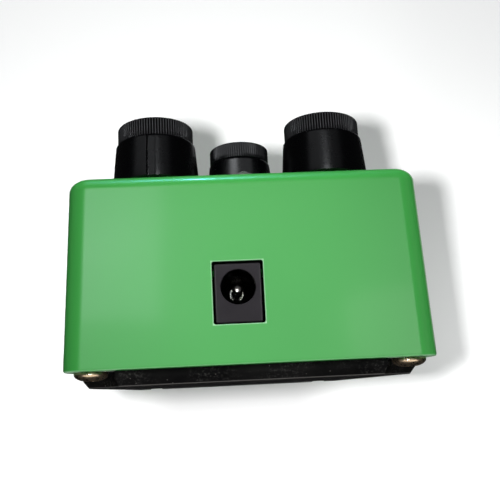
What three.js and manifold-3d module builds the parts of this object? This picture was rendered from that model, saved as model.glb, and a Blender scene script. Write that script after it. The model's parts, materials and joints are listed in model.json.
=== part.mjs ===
// Compact guitar effects pedal: cast casing with a treadle switch, three rotary
// controls, two 6.35 mm sockets, a barrel power socket and a battery bay.
// Millimetres, +Z up. Origin: centre of the footprint on the underside of the
// rubber mat. +Y points to the rear (power socket), -Y to the treadle's toe end,
// +X to the player's right (input socket).
import * as THREE from 'three';
import { mergeVertices } from 'three/addons/utils/BufferGeometryUtils.js';
import Module from 'manifold-3d';

const wasm = await Module();
wasm.setup();

// --------------------------------------------------------- shared dimensions
// Casing
const HALF_W = 35;            // half width at the bottom edge
const HALF_L = 62;            // half length at the bottom edge
const MAT_T = 3;              // rubber mat thickness, height of the casing's bottom edge
const DRAFT = 0.035;          // draft of all four walls (tangent)
const WALL = 2.4;
const SLOPE = 0.084;          // control panel slope, falling to the front
const PANEL_REAR_Y = 60.69;   // virtual rear top edge
const PANEL_REAR_Z = 40.45;
const STEP_TOP_Y = 20;        // control panel ends, step to the lower deck starts
const STEP_BOT_Y = 15.5;
const DECK_Z = 31;            // lower deck height at the step
const DECK_SLOPE = 0.0596;
const SCREW_X = 30, SCREW_Y = 56.9;

// Base plate, battery door and main board
const PLATE_T = 1.2;
const PLATE_TOP = MAT_T + PLATE_T;
const DOOR_PIVOT_Y = -52.5, DOOR_PIVOT_Z = 4, DOOR_HALF_W = 27.1, DOOR_REAR = -21.6;
const BOARD_BOT = 9.1, BOARD_TOP = 10.7;

// Sockets
const JACK_Y = 16, JACK_Z = 17.5;
const DC_X = 2, DC_Z = 16.4;  // centre of the rear wall opening

// Treadle and its hinge
const HINGE_Y = 9, HINGE_Z = 27.6, HINGE_R = 1.5;
const TREADLE_HALF_W = 28.9;
const SWITCH_Y = -3;

// Controls: heights run along the knob axis from the panel surface
const BIG_KNOB = {
  height: 13.6, capRadius: 7.82, capHeight: 3.56, shoulderRadius: 8.25, skirtRadius: 8.95,
  cavityRadius: 7.2,
};
const TONE_KNOB = {
  height: 10.3, capRadius: 6.26, capHeight: 3.2, shoulderRadius: 6.5, skirtRadius: 6.9,
  cavityRadius: 5.7,
};
const KNOB_X = 17.55;         // big knob axes
const KNOB_TOP_Y = 46.9;      // y of a big knob's top centre
const TONE_TOP_Y = 42.4;
const LED_X = -0.3, LED_Y = 6.13;   // in the control panel's frame

const panelZ = (y) => PANEL_REAR_Z + SLOPE * (y - PANEL_REAR_Y);
const deckZ = (y) => DECK_Z + DECK_SLOPE * (y - STEP_BOT_Y);
const halfWidthAt = (z, inset) => HALF_W - inset - DRAFT * (z - MAT_T);
const halfLengthAt = (z, inset) => HALF_L - inset - DRAFT * (z - MAT_T);

// The four corners as signs of x and y, anticlockwise from the rear right
const CORNERS = [[1, 1], [-1, 1], [-1, -1], [1, -1]];

// ------------------------------------------------------------------- helpers
const radians = (degrees) => degrees * Math.PI / 180;
const span = (half, centre = 0) => [centre - half, centre + half];
// a span on the +X side, or its mirror image when side is -1
const onSide = (side, near, far) => (side > 0 ? [near, far] : [-far, -near]);

// welds a closed geometry, turns its faces outward and makes it a Manifold solid
function solid(geometry) {
  let welded = geometry.clone();
  for (const name of ['normal', 'uv']) {
    if (welded.attributes[name]) welded.deleteAttribute(name);
  }
  welded = mergeVertices(welded, 1e-4);
  const p = welded.attributes.position.array;
  const triangles = Uint32Array.from(welded.index.array);
  let volume = 0;
  for (let i = 0; i < triangles.length; i += 3) {
    const [a, b, c] = [triangles[i] * 3, triangles[i + 1] * 3, triangles[i + 2] * 3];
    volume += p[a] * (p[b + 1] * p[c + 2] - p[b + 2] * p[c + 1])
      + p[a + 1] * (p[b + 2] * p[c] - p[b] * p[c + 2])
      + p[a + 2] * (p[b] * p[c + 1] - p[b + 1] * p[c]);
  }
  if (volume < 0) {
    for (let i = 0; i < triangles.length; i += 3) {
      [triangles[i], triangles[i + 1]] = [triangles[i + 1], triangles[i]];
    }
  }
  const vertProperties = Float32Array.from(p);
  return new wasm.Manifold(new wasm.Mesh({ numProp: 3, vertProperties, triVerts: triangles }));
}

function toGeometry(body) {
  const mesh = body.getMesh();
  const geometry = new THREE.BufferGeometry();
  const positions = Float32Array.from(mesh.vertProperties);
  geometry.setAttribute('position', new THREE.BufferAttribute(positions, 3));
  geometry.setIndex(new THREE.BufferAttribute(Uint32Array.from(mesh.triVerts), 1));
  geometry.computeVertexNormals();
  return geometry;
}

const placed = (body, matrix) => solid(toGeometry(body).applyMatrix4(matrix));

function box([x0, x1], [y0, y1], [z0, z1]) {
  const geometry = new THREE.BoxGeometry(x1 - x0, y1 - y0, z1 - z0);
  return solid(geometry.translate((x0 + x1) / 2, (y0 + y1) / 2, (z0 + z1) / 2));
}

// cylinder along an axis; u, v are the two other coordinates in X, Y, Z order
function rod(axis, radius, [start, end], [u, v], segments = 32) {
  const geometry = new THREE.CylinderGeometry(radius, radius, end - start, segments);
  const middle = (start + end) / 2;
  if (axis === 'x') geometry.rotateZ(-Math.PI / 2).translate(middle, u, v);
  if (axis === 'y') geometry.translate(u, middle, v);
  if (axis === 'z') geometry.rotateX(Math.PI / 2).translate(u, v, middle);
  return solid(geometry);
}

const outline = (points) => new THREE.Shape(points.map(([x, y]) => new THREE.Vector2(x, y)));

function polygon(sides, radius, turn = 0) {
  const points = [];
  for (let i = 0; i < sides; i++) {
    const angle = radians(i * 360 / sides + turn);
    points.push([radius * Math.cos(angle), radius * Math.sin(angle)]);
  }
  return outline(points);
}

function roundRect(halfX, halfY, r, x = 0, y = 0) {
  const [x0, x1] = span(halfX, x);
  const [y0, y1] = span(halfY, y);
  const shape = new THREE.Shape();
  shape.moveTo(x0 + r, y0);
  shape.lineTo(x1 - r, y0);
  shape.absarc(x1 - r, y0 + r, r, -Math.PI / 2, 0);
  shape.lineTo(x1, y1 - r);
  shape.absarc(x1 - r, y1 - r, r, 0, Math.PI / 2);
  shape.lineTo(x0 + r, y1);
  shape.absarc(x0 + r, y1 - r, r, Math.PI / 2, Math.PI);
  shape.lineTo(x0, y0 + r);
  shape.absarc(x0 + r, y0 + r, r, Math.PI, 1.5 * Math.PI);
  return shape;
}

function prism(shape, depth, curveSegments, matrix) {
  const geometry = new THREE.ExtrudeGeometry(shape, { depth, bevelEnabled: false, curveSegments });
  return solid(geometry.applyMatrix4(matrix));
}
const frame = (...rows) => new THREE.Matrix4().set(...rows, 0, 0, 0, 1);
// shape drawn in (x, y), extruded along z
const slab = (shape, [z0, z1], arcSteps) =>
  prism(shape, z1 - z0, arcSteps, frame(1, 0, 0, 0, 0, 1, 0, 0, 0, 0, 1, z0));
// shape drawn in (y, z) about the given y, z, extruded along x
const prismX = (shape, [x0, x1], arcSteps = 1, y = 0, z = 0) =>
  prism(shape, x1 - x0, arcSteps, frame(0, 0, 1, x0, 1, 0, 0, y, 0, 1, 0, z));
// shape drawn in (x, z) about the given z, extruded along y
const prismY = (shape, [y0, y1], arcSteps = 1, z = 0) =>
  prism(shape, y1 - y0, arcSteps, frame(1, 0, 0, 0, 0, 0, 1, y0, 0, 1, 0, z));

// closed solid through a list of equal-length convex rings
function loft(rings) {
  const count = rings[0].length;
  const index = [];
  for (let k = 0; k < rings.length - 1; k++) {
    for (let i = 0; i < count; i++) {
      const a = k * count + i;
      const b = k * count + (i + 1) % count;
      index.push(a, b, b + count, a, b + count, a + count);
    }
  }
  const last = (rings.length - 1) * count;
  for (let i = 1; i < count - 1; i++) {
    index.push(0, i + 1, i);
    index.push(last, last + i, last + i + 1);
  }
  const geometry = new THREE.BufferGeometry();
  geometry.setAttribute('position', new THREE.Float32BufferAttribute(rings.flat(2), 3));
  geometry.setIndex(index);
  return solid(geometry);
}

// rounded rectangle as a ring of points at height z, centred on x = 0
function rectRing(halfX, halfY, radius, z, steps, y = 0) {
  const ring = [];
  CORNERS.forEach(([sx, sy], corner) => {
    for (let i = 0; i <= steps; i++) {
      const angle = radians(90 * corner + 90 * i / steps);
      ring.push([
        sx * (halfX - radius) + radius * Math.cos(angle),
        sy * (halfY - radius) + radius * Math.sin(angle) + y,
        z,
      ]);
    }
  });
  return ring;
}

// points are [radius, z]
function lathe(points, segments) {
  const profile = points.map(([r, z]) => new THREE.Vector2(r, z));
  return solid(new THREE.LatheGeometry(profile, segments).rotateX(Math.PI / 2));
}

const washer = (outer, inner, [z0, z1], segments) =>
  lathe([[inner, z0], [outer, z0], [outer, z1], [inner, z1], [inner, z0]], segments);

function hexNut(acrossFlats, holeRadius, zSpan) {
  const shape = polygon(6, acrossFlats / 2 / Math.cos(Math.PI / 6), 30);
  const hole = new THREE.Path();
  hole.absarc(0, 0, holeRadius, 0, 2 * Math.PI);
  shape.holes.push(hole);
  return slab(shape, zSpan, 12);
}

// a cross-section swept along a curve
const sweep = (shape, extrudePath, steps) =>
  solid(new THREE.ExtrudeGeometry(shape, { steps, bevelEnabled: false, extrudePath }));

// arc points, angles in degrees
function arc(y, z, radius, from, to, steps) {
  const points = [];
  for (let i = 0; i <= steps; i++) {
    const angle = radians(from + (to - from) * i / steps);
    points.push([y + radius * Math.cos(angle), z + radius * Math.sin(angle)]);
  }
  return points;
}

// ----------------------------------------------------------------- materials
const standard = ({ color, roughness, metalness = 0 }) =>
  new THREE.MeshStandardMaterial({ color, roughness, metalness });
const finish = {
  green: () => standard({ color: 0x67bf6c, roughness: 0.4 }),
  knob: () => standard({ color: 0x17171a, roughness: 0.3 }),
  rubber: () => standard({ color: 0x1b1b1c, roughness: 0.85 }),
  steel: () => standard({ color: 0xa8a9ab, roughness: 0.35, metalness: 0.9 }),
  bronze: () => standard({ color: 0xa98d56, roughness: 0.35, metalness: 0.9 }),
  plastic: () => standard({ color: 0x2c2a2d, roughness: 0.5 }),
  zinc: () => standard({ color: 0x8d8f90, roughness: 0.4, metalness: 0.85 }),
  board: () => standard({ color: 0x1f5a3a, roughness: 0.5 }),
  nickel: () => standard({ color: 0xc9c9c6, roughness: 0.25, metalness: 1 }),
  red: () => standard({ color: 0xb4201c, roughness: 0.3 }),
  black: () => standard({ color: 0x141415, roughness: 0.5 }),
  tan: () => standard({ color: 0xb6852f, roughness: 0.5 }),
};

// -------------------------------------------------------------------- groups
const root = new THREE.Group();
function add(name, body, material, parent = root) {
  const mesh = new THREE.Mesh(toGeometry(body), material);
  mesh.name = name;
  parent.add(mesh);
  return mesh;
}

// control panel group: local +Z is the panel normal, origin midway between the big knobs' axes
const PANEL_Y = KNOB_TOP_Y + BIG_KNOB.height * Math.sin(SLOPE);
const TONE_Y = (TONE_TOP_Y + TONE_KNOB.height * Math.sin(SLOPE) - PANEL_Y) / Math.cos(SLOPE);
const panel = new THREE.Group();
panel.position.set(0, PANEL_Y, panelZ(PANEL_Y));
panel.rotation.x = SLOPE;
root.add(panel);
panel.updateMatrixWorld(true);

// clockwise: pointer at rest, degrees from the rear
const knobs = [
  { name: 'level', x: KNOB_X, y: 0, clockwise: 8, ...BIG_KNOB },
  { name: 'drive', x: -KNOB_X, y: 0, clockwise: -110, ...BIG_KNOB },
  { name: 'tone', x: 0, y: TONE_Y, clockwise: 100, ...TONE_KNOB },
];

// -------------------------------------------------------------------- casing
const EDGE_R = 4;             // outer fillets
const LOFT_H = 42;            // the drafted plan reaches this far above the bottom edge
const TOE_TOP_Y = -61.1;      // virtual front top edge

// [y, top z] of the outside, front to rear: lower deck, step, control panel
const TOP_STATIONS = [
  [-64, deckZ(-64)],
  [STEP_BOT_Y - 1.2, deckZ(STEP_BOT_Y - 1.2)],
  [STEP_BOT_Y - 0.1, DECK_Z + 0.15],
  [STEP_BOT_Y + 0.7, DECK_Z + 1],
  [STEP_TOP_Y - 1.3, panelZ(STEP_TOP_Y) - 1.85],
  [STEP_TOP_Y - 0.2, panelZ(STEP_TOP_Y) - 0.55],
  [STEP_TOP_Y + 1.6, panelZ(STEP_TOP_Y + 1.6)],
  [64, panelZ(64)],
];
// [y, top z] of the hollow
const HOLLOW_STATIONS = [
  [-64, deckZ(-64) - WALL],
  [STEP_BOT_Y + 2, deckZ(STEP_BOT_Y + 2) - WALL],
  [STEP_TOP_Y + 2.2, panelZ(STEP_TOP_Y + 2.2) - WALL],
  [64, panelZ(64) - WALL],
];

// cross-section at y: drafted sides and filleted top edges
function sectionRing(y, top, bottom, inset, radius, steps) {
  const centreX = halfWidthAt(top, inset) - radius * 0.966; // fillet reach on a drafted wall
  const right = [[halfWidthAt(bottom, inset), y, bottom]];
  for (let i = 0; i <= steps; i++) {
    const angle = DRAFT + (Math.PI / 2 - DRAFT) * i / steps;
    right.push([centreX + radius * Math.cos(angle), y, top - radius + radius * Math.sin(angle)]);
  }
  const left = right.map(([x, , z]) => [-x, y, z]).reverse();
  return [...right, ...left];
}

const lengthwiseLoft = (stations, bottom, inset, radius, steps) =>
  loft(stations.map(([y, top]) => sectionRing(y, top, bottom, inset, radius, steps)));
const draftedPlan = (bottom, inset, radius, steps) =>
  loft([bottom, MAT_T + LOFT_H].map((z) =>
    rectRing(halfWidthAt(z, inset), halfLengthAt(z, inset), radius, z, steps)));

const outerPlan = draftedPlan(MAT_T, 0, EDGE_R, 4);

function casingShell() {
  const sideView = prismX(outline([
    [-64, MAT_T - 1], [64, MAT_T - 1], [HALF_L + 0.01, MAT_T],
    ...arc(PANEL_REAR_Y - 3.97, PANEL_REAR_Z - 4.35, EDGE_R, 2, 94.8, 5),
    [30, 46], [-40, 46], [-40, deckZ(-40) + 1],
    ...arc(TOE_TOP_Y + 3.2, deckZ(TOE_TOP_Y) - 2.95, 3, 93.4, 178, 4),
    [-HALF_L - 0.01, MAT_T],
  ]), span(40));
  const hollow = lengthwiseLoft(HOLLOW_STATIONS, MAT_T - 1, WALL, 2, 3)
    .intersect(draftedPlan(MAT_T - 1, WALL, 2, 3));
  return lengthwiseLoft(TOP_STATIONS, MAT_T, 0, EDGE_R, 4)
    .intersect(outerPlan).intersect(sideView).subtract(hollow);
}

function makeCasing() {
  // treadle well
  const well = roundRect(TREADLE_HALF_W + 0.6, 35.5, 3.4, 0, -22.3);
  let casing = casingShell().subtract(slab(well, [20, 34.4], 6));
  // corner bosses for the base screws, tied to the walls
  for (const [sx, sy] of CORNERS) {
    const at = [sx * SCREW_X, sy * SCREW_Y];
    const web = box(onSide(sx, SCREW_X, 33.2), onSide(sy, SCREW_Y - 2.5, 60.2), [4.5, 15]);
    const boss = rod('z', 3.6, [4.5, 16], at, 24).add(web).intersect(outerPlan);
    casing = casing.add(boss).subtract(rod('z', 1.75, [4, 13], at, 20));
  }
  // lugs that hold the treadle pin, under the deck's side rims
  for (const side of [-1, 1]) {
    const lug = box(onSide(side, 29.5, 33), span(3.6, HINGE_Y), [HINGE_Z - 2.5, HINGE_Z + 2]);
    casing = casing.add(lug.intersect(outerPlan));
  }
  casing = casing.subtract(rod('x', HINGE_R + 0.02, span(32.2), [HINGE_Y, HINGE_Z]));
  // wall openings: power socket at the rear, jack sockets at both sides
  casing = casing.subtract(prismY(roundRect(4.8, 5.9, 0.5, DC_X, 0), [52, 68], 3, DC_Z));
  casing = casing.subtract(rod('x', 5.8, span(40), [JACK_Y, JACK_Z]));
  // control panel holes: three controls and the lamp
  const holes = knobs.map(({ x, y }) => [3.8, x, y, 28]);
  for (const [radius, x, y, segments] of [...holes, [2.25, LED_X, LED_Y, 24]]) {
    const drill = rod('z', radius, [-8, 3], [x, y], segments);
    casing = casing.subtract(placed(drill, panel.matrixWorld));
  }
  return casing;
}
add('casing', makeCasing(), finish.green());

// ---------------------------------------------------------------- base plate
function makeBasePlate() {
  const inset = WALL + 0.3;
  let plate = slab(roundRect(HALF_W - inset, HALF_L - inset, 2.2), [MAT_T, PLATE_TOP], 4)
    .subtract(box(span(DOOR_HALF_W + 0.4), [-54, DOOR_REAR + 0.4], [0, 8]));
  for (const [sx, sy] of CORNERS) {
    plate = plate.subtract(rod('z', 2.1, [2, 6], [sx * SCREW_X, sy * SCREW_Y], 20));
  }
  // ears that carry the door pin
  for (const side of [-1, 1]) {
    plate = plate.add(box(onSide(side, 27.9, 29.9), [-53.25, -51.3], [MAT_T, 5.2]));
  }
  return plate.subtract(rod('x', 0.62, span(31), [DOOR_PIVOT_Y, DOOR_PIVOT_Z], 20));
}
add('base_plate', makeBasePlate(), finish.steel());

// ---------------------------------------------------------------- rubber mat
// half width, half length, corner radius, z
const MAT_RINGS = [[31.4, 59, 5, 0], [32.6, 60.2, 5.5, 1.5], [32.8, 60.4, 5.5, MAT_T]];
const NOTCH_OFFSET = 0.8;     // screw notch centres, outward of the screws

let mat = loft(MAT_RINGS.map((ring) => rectRing(...ring, 4)))
  .subtract(box(span(28.2), [-55.2, -20.8], [-1, 5]));
for (const [sx, sy] of CORNERS) {
  const at = [sx * (SCREW_X + NOTCH_OFFSET), sy * (SCREW_Y + NOTCH_OFFSET)];
  mat = mat.subtract(rod('z', 6.2, [-1, 5], at));
}
// the screw notches part the toe strip from the main mat
add('rubber_mat', mat.intersect(box(span(40), [-53.4, 70], [-2, 6])), finish.rubber());
add('rubber_mat_toe', mat.intersect(box(span(24.9), [-70, -54], [-2, 6])), finish.rubber());

// --------------------------------------------------------------- base screws
// [radius, z], shank tip to the underside of the head
const SCREW_PROFILE = [
  [0, 12.4], [1.62, 12.4], [1.62, MAT_T], [3.25, MAT_T], [3.25, 2.35], [2.6, 1.5], [0, 1.3],
];
CORNERS.forEach(([sx, sy], i) => {
  const screw = lathe(SCREW_PROFILE, 16)
    .subtract(box(span(1.7), span(0.35), [0, 2.1]))
    .subtract(box(span(0.35), span(1.7), [0, 2.1]));
  add(`base_screw_${i + 1}`, screw, finish.bronze())
    .position.set(sx * SCREW_X, sy * SCREW_Y, 0);
});

// -------------------------------------------------------------- battery door
// a flat lid with a rounded hinge edge and a finger dimple, turning on a thin pin
const DOOR_PROFILE = [
  [DOOR_REAR, 3], [DOOR_REAR, 4.7], [DOOR_REAR - 0.3, 5],
  ...arc(DOOR_PIVOT_Y, DOOR_PIVOT_Z, 1, 90, 270, 8),
];
const door = prismX(outline(DOOR_PROFILE), span(DOOR_HALF_W))
  .subtract(rod('x', 0.68, span(30), [DOOR_PIVOT_Y, DOOR_PIVOT_Z], 20))
  .subtract(rod('z', 5, [2, 3.7], [0, DOOR_REAR - 3.4], 28));
add('battery_door', door, finish.plastic());
const doorPin = rod('x', 0.6, span(29.8), [DOOR_PIVOT_Y, DOOR_PIVOT_Z], 20);
add('battery_door_pin', doorPin, finish.nickel());

// --------------------------------------------------------------- battery bay
const BATTERY_Y = -36.65, BATTERY_HALF_L = 13.25, BATTERY_H = 17.5;
const BATTERY_Z = 5.3 + BATTERY_H / 2;
const TERMINAL_OFFSET = 6.35;
const FRONT_TERMINAL = [BATTERY_Y - TERMINAL_OFFSET, BATTERY_Z];
const REAR_TERMINAL = [BATTERY_Y + TERMINAL_OFFSET, BATTERY_Z];

const batteryShape = roundRect(BATTERY_HALF_L, BATTERY_H / 2, 1.6);
const battery = prismX(batteryShape, [-25.5, 20.9], 3, BATTERY_Y, BATTERY_Z)
  .add(rod('x', 2.8, [20.5, 23.2], FRONT_TERMINAL, 20))
  .add(rod('x', 3.6, [20.5, 23], REAR_TERMINAL, 6));
add('battery', battery, finish.tan());

const snap = prismX(roundRect(12.8, 6.4, 3), [21.2, 26.2], 4, BATTERY_Y, BATTERY_Z)
  .subtract(rod('x', 4.3, [20, 23.6], FRONT_TERMINAL, 20))
  .subtract(rod('x', 4.3, [20, 23.6], REAR_TERMINAL, 20));
add('battery_snap', snap, finish.black());

// [x, y, z] along each lead, from the snap to the main board
const POSITIVE_LEAD = [
  [26.9, -29.5, 15], [28.6, -27, 14.2], [29.6, -21, 12.6],
  [27.5, -12, 13.6], [22, -5.5, 13.4], [20, -4.4, 11.1],
];
const NEGATIVE_LEAD = [
  [26.9, -31.5, 12], [29, -27.5, 10.2], [30.2, -20, 8.6],
  [29.6, -13.5, 11.6], [26.4, -8.2, 13.6], [24.2, -7.2, 11.1],
];
function lead(points) {
  const path = new THREE.CatmullRomCurve3(points.map((p) => new THREE.Vector3(...p)));
  return sweep(polygon(6, 0.65), path, 15);
}
add('battery_lead_positive', lead(POSITIVE_LEAD), finish.red());
add('battery_lead_negative', lead(NEGATIVE_LEAD), finish.black());

// ---------------------------------------------------------------- main board
const mainBoard = slab(roundRect(31, 31.25, 1.5, 0, 21.25), [BOARD_BOT, BOARD_TOP], 3);
add('main_board', mainBoard, finish.board());
[[26, -6], [-26, -6], [-26, 47.5], [26, 47.5]].forEach((at, i) => {
  add(`board_spacer_${i + 1}`, rod('z', 3, [PLATE_TOP, BOARD_BOT], at, 20), finish.black());
});

const PIN_PITCH = 2.54, PIN_W = 0.6, FIRST_PIN_X = -18;
let opAmp = box([-18.8, -9.2], [31.2, 37.6], [BOARD_TOP + 0.6, BOARD_TOP + 4]);
for (let i = 0; i < 4; i++) {
  const x = FIRST_PIN_X + i * PIN_PITCH;
  opAmp = opAmp.add(box([x, x + PIN_W], [30.4, 38.4], [BOARD_TOP, BOARD_TOP + 2]));
}
add('op_amp', opAmp, finish.black());

// [radius, height above the board]
const CAN_PROFILE = [
  [0, 0], [4, 0], [4, 1.2], [3.8, 1.6], [4, 2], [4, 9.6], [3.5, 10], [0, 10],
];
const electrolytic = lathe(CAN_PROFILE, 24).translate([-22.5, 44, BOARD_TOP]);
add('electrolytic_capacitor', electrolytic, finish.black());
const filmCapacitor = box([-13.4, -6.2], [43.2, 46.8], [BOARD_TOP, BOARD_TOP + 7.2]);
add('film_capacitor', filmCapacitor, finish.red());

// -------------------------------------------------------------- power socket
const DC_FACE_Y = 61.2, DC_BORE_Z = 17.4, DC_BORE_R = 3.25;
const fromFace = (rear, front) => [DC_FACE_Y - rear, DC_FACE_Y - front];
const dcBody = box(span(4.4, DC_X), fromFace(14, 0), [BOARD_TOP, 21.85])
  .subtract(rod('y', DC_BORE_R, fromFace(12.6, -1), [DC_X, DC_BORE_Z]))
  .subtract(rod('y', 1.2, fromFace(15, 0), [DC_X, DC_BORE_Z], 20))
  .subtract(box(span(1.1, DC_X), fromFace(15, 12), [DC_BORE_Z + 2.3, DC_BORE_Z + 3.3]));
add('dc_jack_body', dcBody, finish.plastic());

// [radius, distance from the socket face]
const DC_PIN_PROFILE = [[0, -14.6], [1.05, -14.6], [1.05, -3.3], [0.8, -3.05], [0, -2.95]];
const dcPin = lathe(DC_PIN_PROFILE, 20).rotate([-90, 0, 0]).translate([DC_X, DC_FACE_Y, DC_BORE_Z]);
add('dc_jack_pin', dcPin, finish.nickel());

// [y from the socket face, z from the bore axis]
const DC_SPRING_PROFILE = [
  [-14.4, 2.6], [-9, 2.45], [-5.6, 2.1], [-4.6, 2.6],
  [-4.9, 2.75], [-5.8, 2.4], [-9, 2.75], [-14.4, 2.9],
];
const dcSpring = prismX(outline(DC_SPRING_PROFILE), span(0.8, DC_X), 1, DC_FACE_Y, DC_BORE_Z);
add('dc_jack_spring', dcSpring, finish.nickel());

// ------------------------------------------------------ 6.35 mm side sockets
const JACK_BORE_R = 3.3;
// [x on the +X side, z]
const TIP_SPRING_PROFILE = [
  [9.2, 20.6], [14, 20.9], [12.6, 18.6], [11.4, 18.6],
  [11.4, 18.9], [12.4, 18.9], [13.4, 20.5], [9.2, 20.2],
];

function makeJackBody(side) {
  const axis = [JACK_Y, JACK_Z];
  return box(onSide(side, 6.6, 31.6), span(8, JACK_Y), [BOARD_TOP, 24.5])
    .add(rod('x', 5.5, onSide(side, 31, 36.9), axis))
    .subtract(box(onSide(side, 9, 29.2), span(5.6, JACK_Y), [JACK_Z - 4.6, JACK_Z + 5.2]))
    .subtract(rod('x', JACK_BORE_R, onSide(side, 20, 38), axis))
    .subtract(box(onSide(side, 8, 30), [JACK_Y + 5, JACK_Y + 9], [JACK_Z - 3, JACK_Z - 1]));
}

for (const [name, side] of [['input', 1], ['output', -1]]) {
  // turns a part made along +Z to point out of this side
  const outward = (body) => body.rotate([0, side * 90, 0]).translate([0, JACK_Y, JACK_Z]);
  const tipSpring = outline(TIP_SPRING_PROFILE.map(([x, z]) => [side * x, z]));
  add(`${name}_jack_body`, makeJackBody(side), finish.plastic());
  add(`${name}_jack_washer`, outward(washer(7.4, 5.7, [34.8, 35.3], 32)), finish.nickel());
  add(`${name}_jack_nut`, outward(hexNut(13, 5.6, [35.3, 37])), finish.nickel());
  add(`${name}_jack_tip_spring`, prismY(tipSpring, span(2, JACK_Y)), finish.nickel());
}

// ------------------------------------------------------------- control panel
const SHAFT_R = 3, SHAFT_CLEAR = 0.07;
const KNOB_GAP = 0.55;        // knob underside above the panel
const CAVITY_TOP = 3.9;

const controlBoard = slab(roundRect(27, 11, 1.5, 0, -3), [-13.6, -12], 3);
add('control_board', controlBoard, finish.board(), panel);

// cap over a flared, hollow skirt, with a pointer groove in the skirt and a line on the cap
function makeKnob(knob, shaftTop) {
  const { height, capRadius, shoulderRadius, skirtRadius, cavityRadius } = knob;
  const capBottom = height - knob.capHeight;
  const boreRadius = SHAFT_R + 0.1;
  const boreTop = shaftTop + 0.1;
  const body = lathe([
    [0, height], [capRadius - 0.45, height], [capRadius, height - 0.4], [capRadius, capBottom],
    [shoulderRadius, capBottom - 0.2], [skirtRadius, KNOB_GAP], [cavityRadius, KNOB_GAP],
    [cavityRadius, CAVITY_TOP], [boreRadius, CAVITY_TOP], [boreRadius, boreTop], [0, boreTop],
  ], 36);
  const groove = box(span(0.3), [shoulderRadius - 0.35, skirtRadius + 1], [-1, capBottom - 0.05]);
  const line = box(span(0.35), [capRadius * 0.35, capRadius + 1], [height - 0.3, height + 1]);
  const turn = [0, 0, -knob.clockwise];
  return body.subtract(groove.rotate(turn)).subtract(line.rotate(turn));
}

for (const knob of knobs) {
  const { name, x, y } = knob;
  const shaftTop = knob.height - 3.5;
  const potBody = rod('z', 8, [-11.6, -2.7], [x, y], 28)
    .add(rod('z', 3.5, [-3, 3.3], [x, y], 20))
    .subtract(rod('z', SHAFT_R + SHAFT_CLEAR, [-8.6, 4], [x, y]));
  const potWasher = washer(5.4, 3.65, [0.1, 0.6], 28).translate([x, y, 0]);
  const potNut = hexNut(9, 3.6, [0.7, 2.7]).translate([x, y, 0]);
  add(`${name}_pot_body`, potBody, finish.zinc(), panel);
  add(`${name}_pot_washer`, potWasher, finish.nickel(), panel);
  add(`${name}_pot_nut`, potNut, finish.nickel(), panel);
  const shaft = rod('z', SHAFT_R, [-8.4, shaftTop], [x, y]);
  add(`${name}_pot_shaft`, shaft, finish.nickel(), panel);
  const cap = makeKnob(knob, shaftTop).translate([x, y, 0]);
  add(`${name}_knob`, cap, finish.knob(), panel);
}

// indicator lamp in a snap-in bezel, legs down to the control board; profiles are [radius, z]
const LED_PROFILE = [
  [0, 1.8], [0.58, 1.68], [1.06, 1.36], [1.38, 0.88], [1.5, 0.3],
  [1.5, -3.4], [1.9, -3.4], [1.9, -4.2], [0, -4.2],
];
const BEZEL_PROFILE = [
  [1.6, -3.2], [2.1, -3.2], [2.1, 0.1], [2.6, 0.1],
  [2.5, 0.55], [1.75, 0.75], [1.6, 0.6], [1.6, -3.2],
];
let led = lathe(LED_PROFILE, 18).translate([LED_X, LED_Y, 0]);
for (const offset of span(1.27)) {
  led = led.add(box(span(0.25, LED_X + offset), span(0.25, LED_Y), [-11.9, -4]));
}
add('led', led, finish.red(), panel);
const bezel = lathe(BEZEL_PROFILE, 18).translate([LED_X, LED_Y, 0]);
add('led_bezel', bezel, finish.nickel(), panel);

// flat flexible link between the two boards, [y, z]
const LINK_PROFILE = [
  [37, 24.4], [34.6, 22.4], [33.6, 19], [33.8, 14], [35, 10.8],
  [36, 10.8], [34.9, 14.2], [34.7, 19], [35.5, 21.9], [37.6, 24.3],
];
add('board_link', prismX(outline(LINK_PROFILE), [8, 22]), finish.tan());

// ------------------------------------------------------------------- treadle
// group origin on the hinge axis
const TREADLE_TOP = 6, TREADLE_PLATE_T = 2.6;
const TREADLE_FRONT = -66.2, TREADLE_REAR = 3.5;
const TREADLE_MID_Y = (TREADLE_FRONT + TREADLE_REAR) / 2;
const TREADLE_HALF_L = (TREADLE_REAR - TREADLE_FRONT) / 2;
// inset, corner radius, z
const TREADLE_RINGS = [
  [0, 3.2, -1.6], [0, 3.2, TREADLE_TOP - 1],
  [0.3, 2.9, TREADLE_TOP - 0.3], [1, 2.4, TREADLE_TOP],
];

const treadle = new THREE.Group();
treadle.position.set(0, HINGE_Y, HINGE_Z);
treadle.rotation.x = 0.058;
root.add(treadle);

function makeTreadlePlate() {
  const hollow = roundRect(TREADLE_HALF_W - 2, TREADLE_HALF_L - 2, 1.6, 0, TREADLE_MID_Y);
  let plate = loft(TREADLE_RINGS.map(([inset, radius, z]) =>
    rectRing(TREADLE_HALF_W - inset, TREADLE_HALF_L - inset, radius, z, 5, TREADLE_MID_Y)))
    .subtract(slab(hollow, [-3, TREADLE_TOP - TREADLE_PLATE_T], 4));
  // hinge knuckles
  for (const side of [-1, 1]) {
    const width = onSide(side, 25.9, TREADLE_HALF_W);
    plate = plate.add(rod('x', 2.5, width, [0, 0], 24)).add(box(width, span(2.5), [0, 3.6]));
  }
  return plate.subtract(rod('x', HINGE_R + 0.06, span(31), [0, 0]));
}
add('treadle_plate', makeTreadlePlate(), finish.green(), treadle);
const grip = slab(roundRect(25, 28, 3, 0, -34), [TREADLE_TOP + 0.05, TREADLE_TOP + 1.45], 4);
add('treadle_grip', grip, finish.rubber(), treadle);
const pushPad = rod('z', 3, [-1.1, 3.35], [0, SWITCH_Y - HINGE_Y], 24);
add('push_pad', pushPad, finish.rubber(), treadle);
add('hinge_pin', rod('x', HINGE_R, span(32), [HINGE_Y, HINGE_Z]), finish.nickel());

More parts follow.
